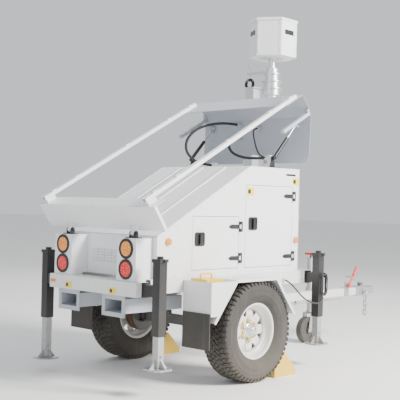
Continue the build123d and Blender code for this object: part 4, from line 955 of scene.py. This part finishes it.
@dataclass(frozen=True)
class ScrewRow:
    """Screw heads in an even row."""

    name: str
    first: tuple[float, float, float]
    last: tuple[float, float, float]
    count: int
    outward: tuple[float, float, float]
    body: Body = Body.TRAILER
    radius: float = 7.0
    look: Look = Look.BRIGHT

    def build(self) -> None:
        """Makes the heads, each a low cone frustum."""
        mesh = bmesh.new()
        out = Vector(self.outward).normalized()
        for index in range(self.count):
            middle = spot(*self.first).lerp(spot(*self.last), index / (self.count - 1))
            add_rod(mesh, middle - out * 0.0015, middle + out * 0.0026, self.radius / 1000,
                    self.radius / 1450, 12)
        fit(f"screws_{self.name}", mesh, self.look, self.body)


@dataclass(frozen=True)
class MastTrim:
    """Flange plates with bolts on the mast's collars, and the trim of the hexagonal head."""

    x: float = -34.0
    y: float = 1060.0
    collar_bottom: float = 2215.0
    collar_step: float = 62.3
    collar_radii: tuple[float, ...] = (78.0, 72.0, 66.0)
    head_bottom: float = 2534.0
    head_height: float = 318.0
    head_side: float = 208.0

    def build(self) -> None:
        """Makes the flanges and the head's trim."""
        for index, (radius, body) in enumerate(zip(self.collar_radii,
                                                   (Body.TRAILER, Body.MAST_ONE, Body.MAST_TWO))):
            self.build_flange(index, radius, body)
        self.build_seams()
        for name, turn in (("right", 0), ("rear_left", 240)):
            mesh = bmesh.new()
            self.add_on_face(mesh, turn, 0, 42, (118, 40), 1.2)
            fit(f"head_plate_{name}", mesh, Look.BLACK_FILM_AND_SHADOW, Body.MAST_TOP)

    def build_flange(self, index: int, radius: float, body: Body) -> None:
        """Makes one flange plate with six bolts at the top of a collar."""
        top = self.collar_bottom + index * self.collar_step + 61
        mesh = bmesh.new()
        middle = spot(self.x, self.y, top)
        add_spun(mesh, [(-9, radius - 2), (-9, radius + 14), (0, radius + 14), (0, radius - 2)], middle,
                 Vector((0, 0, 1)), 64)
        for bolt in range(6):
            angle = (bolt + 0.5) * math.tau / 6
            reach = (radius + 7) / 1000
            foot = middle + Vector((math.cos(angle) * reach, math.sin(angle) * reach, -0.015))
            add_rod(mesh, foot, foot + Vector((0, 0, 0.007)), 0.0055, segments=6)
        fit(f"collar_flange_{index}", mesh, Look.ALUMINIUM, body, rounding=0.0006,
            segments=1)

    def add_on_face(self, mesh: bmesh.types.BMesh, turn: float, across: float, up: float,
                    size: tuple[float, float],
                    proud: float) -> None:
        """Adds a flat block on one face of the head.

        Args:
            mesh: The mesh that takes it.
            turn: The face's heading in degrees.
            across: Its middle across the face in millimetres.
            up: Its middle above the head's mid height in millimetres.
            size: Width and height in millimetres.
            proud: How far it stands off the face in millimetres.
        """
        reach = self.head_side * math.cos(math.pi / 6)
        height = self.head_bottom + self.head_height / 2 + up
        place = Matrix.Translation(spot(self.x, self.y, height)) @ Matrix.Rotation(math.radians(turn), 4,
                                                                                   "Z")
        shape = place @ Matrix.Translation(((reach + proud / 2 - 0.5) / 1000, across / 1000, 0))
        shape = shape @ Matrix.Diagonal(((proud + 1) / 1000, size[0] / 1000, size[1] / 1000, 1))
        bmesh.ops.create_cube(mesh, size=1.0, matrix=shape)

    def build_seams(self) -> None:
        """Makes the folded corner strips of the head and the screws at mid height."""
        strips, screws = bmesh.new(), bmesh.new()
        for face in range(6):
            for side in (-1, 1):
                self.add_on_face(strips, face * 60, side * (self.head_side / 2 - 13), -6, (20, 276), 1.0)
                for up in (-118, -4, 110):
                    self.add_on_face(screws, face * 60, side * (self.head_side / 2 - 13), up, (8, 8), 2.6)
        fit("head_corner_strips", strips, Look.WHITE, Body.MAST_TOP, rounding=0.0004,
            segments=1)
        fit("head_screws", screws, Look.BRIGHT, Body.MAST_TOP, rounding=0.0012, segments=2)


@dataclass(frozen=True)
class RoofTrim:
    """Painted shadow of the gap along the cabinet's slope, as a thin dark strip, and raised flange strips.
    """

    foot: tuple[float, float] = (-740.0, 1045.0)
    ridge: tuple[float, float] = (211.0, 1562.0)

    def strip(self, mesh: bmesh.types.BMesh, x: tuple[float, float], y: tuple[float, float],
              proud: float) -> None:
        """Adds a flat strip on the slope between two X and two Y values, proud of it in millimetres."""
        rise = (self.ridge[1] - self.foot[1]) / (self.ridge[0] - self.foot[0])
        up = Vector((0, -rise, 1)).normalized()
        low, high = (spot(x[0], at, self.foot[1] + (at - self.foot[0]) * rise) for at in y)
        wide = Vector(((x[1] - x[0]) / 1000, 0, 0))
        add_prism(mesh, [point - up * 0.001 for point in (low, low + wide, high + wide, high)],
                  up * (0.001 + proud / 1000))

    def build(self) -> None:
        """Makes the dark strip of painted shadow in the gap, and the two flange strips."""
        slot, strips = bmesh.new(), bmesh.new()
        # Thin black strip 0.5 mm proud of the slope: painted shadow that stands in for the shade inside the
        # gap.
        self.strip(slot, (-219, -207), (-330, 180), 0.5)
        fit("slope_slot", slot, Look.BLACK_FILM_AND_SHADOW, Body.TRAILER)
        for side in (-1, 1):
            self.strip(strips, tuple(sorted((side * 452, side * 472))), (-640, 200), 1.6)
        fit("slope_flanges", strips, Look.WHITE, Body.TRAILER, rounding=0.0004, segments=1)


DOORS = (
    SideDoor("rear", Body.DOOR_REAR, 96.0, (876.0, 1107.0), (-330.0, 1020.0)),
    SideDoor("front", Body.DOOR_FRONT, 732.0, (875.0, 1345.0), (245.0, 1130.0)),
)

LABELS = (
    FilmLabel("label_side", Body.TRAILER, Look.YELLOW_LABEL, Slot.YELLOW, (476, 765, 1462), (78, 58),
              (1, 0, 0), True),
    FilmLabel("plate_side", Body.TRAILER, Look.BLACK_FILM_AND_SHADOW, Slot.BLACK_PLASTIC, (476, 702, 1512), (120, 16),
              (1, 0, 0)),
    FilmLabel("label_door", Body.DOOR_FRONT, Look.YELLOW_LABEL, Slot.YELLOW, (476, 215, 1370), (76, 58),
              (1, 0, 0), True),
    FilmLabel("label_beam_left", Body.TRAILER, Look.YELLOW_LABEL, Slot.YELLOW, (-247, -911, 671), (74, 44),
              (0, -1, 0), True),
    FilmLabel("label_beam_right", Body.TRAILER, Look.YELLOW_LABEL, Slot.YELLOW, (230, -911, 667), (74, 44),
              (0, -1, 0), True),
    FilmLabel("reflector_beam", Body.TRAILER, Look.AMBER_FILM, Slot.AMBER, (-425, -911, 690), (58, 24),
              (0, -1, 0)),
)

TRAY_OUT = (0, -0.821, -0.571)
SCREWS = (
    ScrewRow("tray_top", (-590, -896.7, 1217.5), (590, -896.7, 1217.5), 13, TRAY_OUT, Body.FRAME, 6),
    ScrewRow("tray_low", (-590, -816.7, 1102.6), (590, -816.7, 1102.6), 13, TRAY_OUT, Body.FRAME, 6),
    ScrewRow("rear_left", (-455, -740, 790), (-455, -740, 1025), 3, (0, -1, 0)),
    ScrewRow("rear_right", (455, -740, 790), (455, -740, 1025), 3, (0, -1, 0)),
    ScrewRow("side_foot", (476, -700, 768), (476, 780, 768), 12, (1, 0, 0), radius=5.5),
    ScrewRow("side_slope", (476, -690, 1045), (476, 170, 1512), 8, (1, 0, 0), radius=5.5),
    ScrewRow("side_roof", (476, 250, 1540), (476, 780, 1540), 5, (1, 0, 0), radius=5.5),
)


# ---------------------------------------------------------------- cords
@dataclass(frozen=True)
class Cord:
    """One cable that runs from the outlet to a gland, through its route's points."""

    name: str
    route: tuple[tuple[float, float, float], ...]
    diameter: float
    length: float
    tilts: bool
    stiffness: str = "medium"
    bend: tuple[int, int] = (2, 6)
    body: Body = Body.TRAILER
    lay: str = "loose"

    def curve(self, bevel: float) -> bpy.types.Object:
        """Makes the route as a NURBS curve.

        Args:
            bevel: Half the cable's thickness, or 0 for the bare line.

        Returns:
            The curve object.
        """
        data = bpy.data.curves.new(self.name, "CURVE")
        data.dimensions = "3D"
        data.bevel_depth = bevel
        data.bevel_resolution = 5
        data.resolution_u = 16
        data.use_fill_caps = bevel > 0
        line = data.splines.new("NURBS")
        line.points.add(len(self.route) - 1)
        for slot, point in zip(line.points, self.route):
            slot.co = (*spot(*point), 1.0)
        line.order_u = 3
        line.use_endpoint_u = True
        piece = bpy.data.objects.new(self.name + "_cord", data)
        bpy.context.scene.collection.objects.link(piece)
        return piece

    def as_mesh(self, source: bpy.types.Object) -> bpy.types.Mesh:
        """Turns a curve into a mesh and removes the curve."""
        bpy.context.view_layer.update()
        mesh = bpy.data.meshes.new_from_object(source)
        bpy.data.curves.remove(source.data)
        return mesh

    def build(self) -> None:
        line = self.as_mesh(self.curve(0.0))
        tube = self.as_mesh(self.curve(self.diameter / 2))
        piece = bpy.data.objects.new(self.name + "_cord", tube)
        bpy.context.scene.collection.objects.link(piece)
        for face in tube.polygons:
            face.use_smooth = True
        if self.tilts:
            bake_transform(piece)
        else:
            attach(piece, self.body.value)
        piece.data.materials.append(MATERIALS[Look.CABLE])
        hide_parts(self.name)
        LOG.info("laid %s", self.name)


@dataclass(frozen=True)
class Coil:
    """A hung coil: turns of one cord round a slot-shaped loop, laid side by side in a round bundle.

    Lengths are in millimetres. Each turn lies one lane further round the bundle's section,
    so the turns never cross.
    """

    centre: tuple[float, float, float]
    side: tuple[float, float, float]
    straight: float
    radius: float
    spread: float = 9.2
    turns: float = 4.75
    steps: int = 28
    lanes: int = 5

    def route(self) -> tuple[tuple[float, float, float], ...]:
        """Works out the cord's points, from the top of the loop and round it."""
        side, up = Vector(self.side), Vector((0, 0, 1))
        axis = side.cross(up)
        around = 2 * self.straight + math.tau * self.radius
        places = []
        for step in range(round(self.turns * self.steps) + 1):
            turn = step / self.steps
            middle, out = self.loop_point((turn % 1.0) * around)
            angle = math.tau * turn / self.lanes
            place = Vector(self.centre) + side * middle.x + up * middle.y
            place += (side * out.x + up * out.y) * (self.spread * math.cos(angle))
            place += axis * (self.spread * math.sin(angle))
            places.append(tuple(place))
        return tuple(places)

    def loop_point(self, along: float) -> tuple[Vector, Vector]:
        """Point of the bundle's middle line and its outward direction, in the loop's plane."""
        quarter, half = math.pi * self.radius / 2, self.straight / 2
        if along < quarter:
            angle, middle = math.pi / 2 - along / self.radius, Vector((0, half))
        elif along < quarter + self.straight:
            return Vector((self.radius, half - (along - quarter))), Vector((1, 0))
        elif along < 3 * quarter + self.straight:
            angle, middle = -(along - quarter - self.straight) / self.radius, Vector((0, -half))
        elif along < 3 * quarter + 2 * self.straight:
            return Vector((-self.radius, along - 3 * quarter - self.straight - half)), Vector((-1, 0))
        else:
            angle, middle = math.pi - (along - 3 * quarter - 2 * self.straight) / self.radius, Vector((0,
                                                                                                       half))
        out = Vector((math.cos(angle), math.sin(angle)))
        return middle + out * self.radius, out


MAST_COIL_LENGTH = 1.19  # 4.75 turns of a 40 mm loop, in metres
JACK_COIL_LENGTH = 1.89  # 4.75 turns of a slot 98 mm long with 32 mm ends
CORDS = (
    Cord("conduit_left", (
        (-165, 770, 1945), (-175, 655, 1950), (-225, 530, 1935), (-285, 410, 1890), (-330, 335, 1800),
        (-345, 345, 1700), (-340, 430, 1632), (-330, 530, 1604), (-330, 640, 1598)), 0.022, 0.928, True,
        "stiff", (3, 7)),
    Cord("conduit_near", (
        (-154, 770, 1830), (-152, 690, 1818), (-128, 625, 1755), (-60, 600, 1692), (40, 608, 1656),
        (145, 632, 1646), (262, 640, 1648)), 0.022, 0.594, True, "stiff", (1, 5)),
    Cord("lead_far", (
        (60, 772, 1905), (68, 715, 1893), (105, 668, 1845), (155, 632, 1772), (208, 600, 1702),
        (272, 572, 1655), (345, 560, 1642)), 0.012, 0.480, True, "medium", (1, 5)),
    Cord("jack_lead", (
        (492, 640, 690), (535, 652, 668), (566, 694, 612), (590, 752, 548), (622, 822, 508),
        (651, 884, 506), (660, 915, 552)), 0.012, 0.420, False),
    Cord("mast_coil", Coil((-280, 1060, 2330), (1, 0, 0), 0, 40).route(), 0.008, MAST_COIL_LENGTH, False,
         body=Body.MAST_TOP,
         lay="coiled"),
    Cord("jack_coil", Coil((660, 921, 655), (0, 1, 0), 98, 32).route(), 0.008, JACK_COIL_LENGTH, False,
         lay="coiled"),
)


def main() -> None:
    """Builds the stage and every piece, in order."""
    logging.basicConfig(level=logging.INFO, format="%(name)s: %(message)s")
    Studio().build()
    for cord in CORDS:
        cord.build()
    dress_frame()
    Wheel("right", Body.WHEEL_RIGHT, 620.0, 1.0).build()
    Wheel("left", Body.WHEEL_LEFT, -620.0, -1.0).build()
    for part in (*DOORS, *LABELS, *SCREWS, MastTrim(), RoofTrim()):
        part.build()


if __name__ == "__main__":
    main()
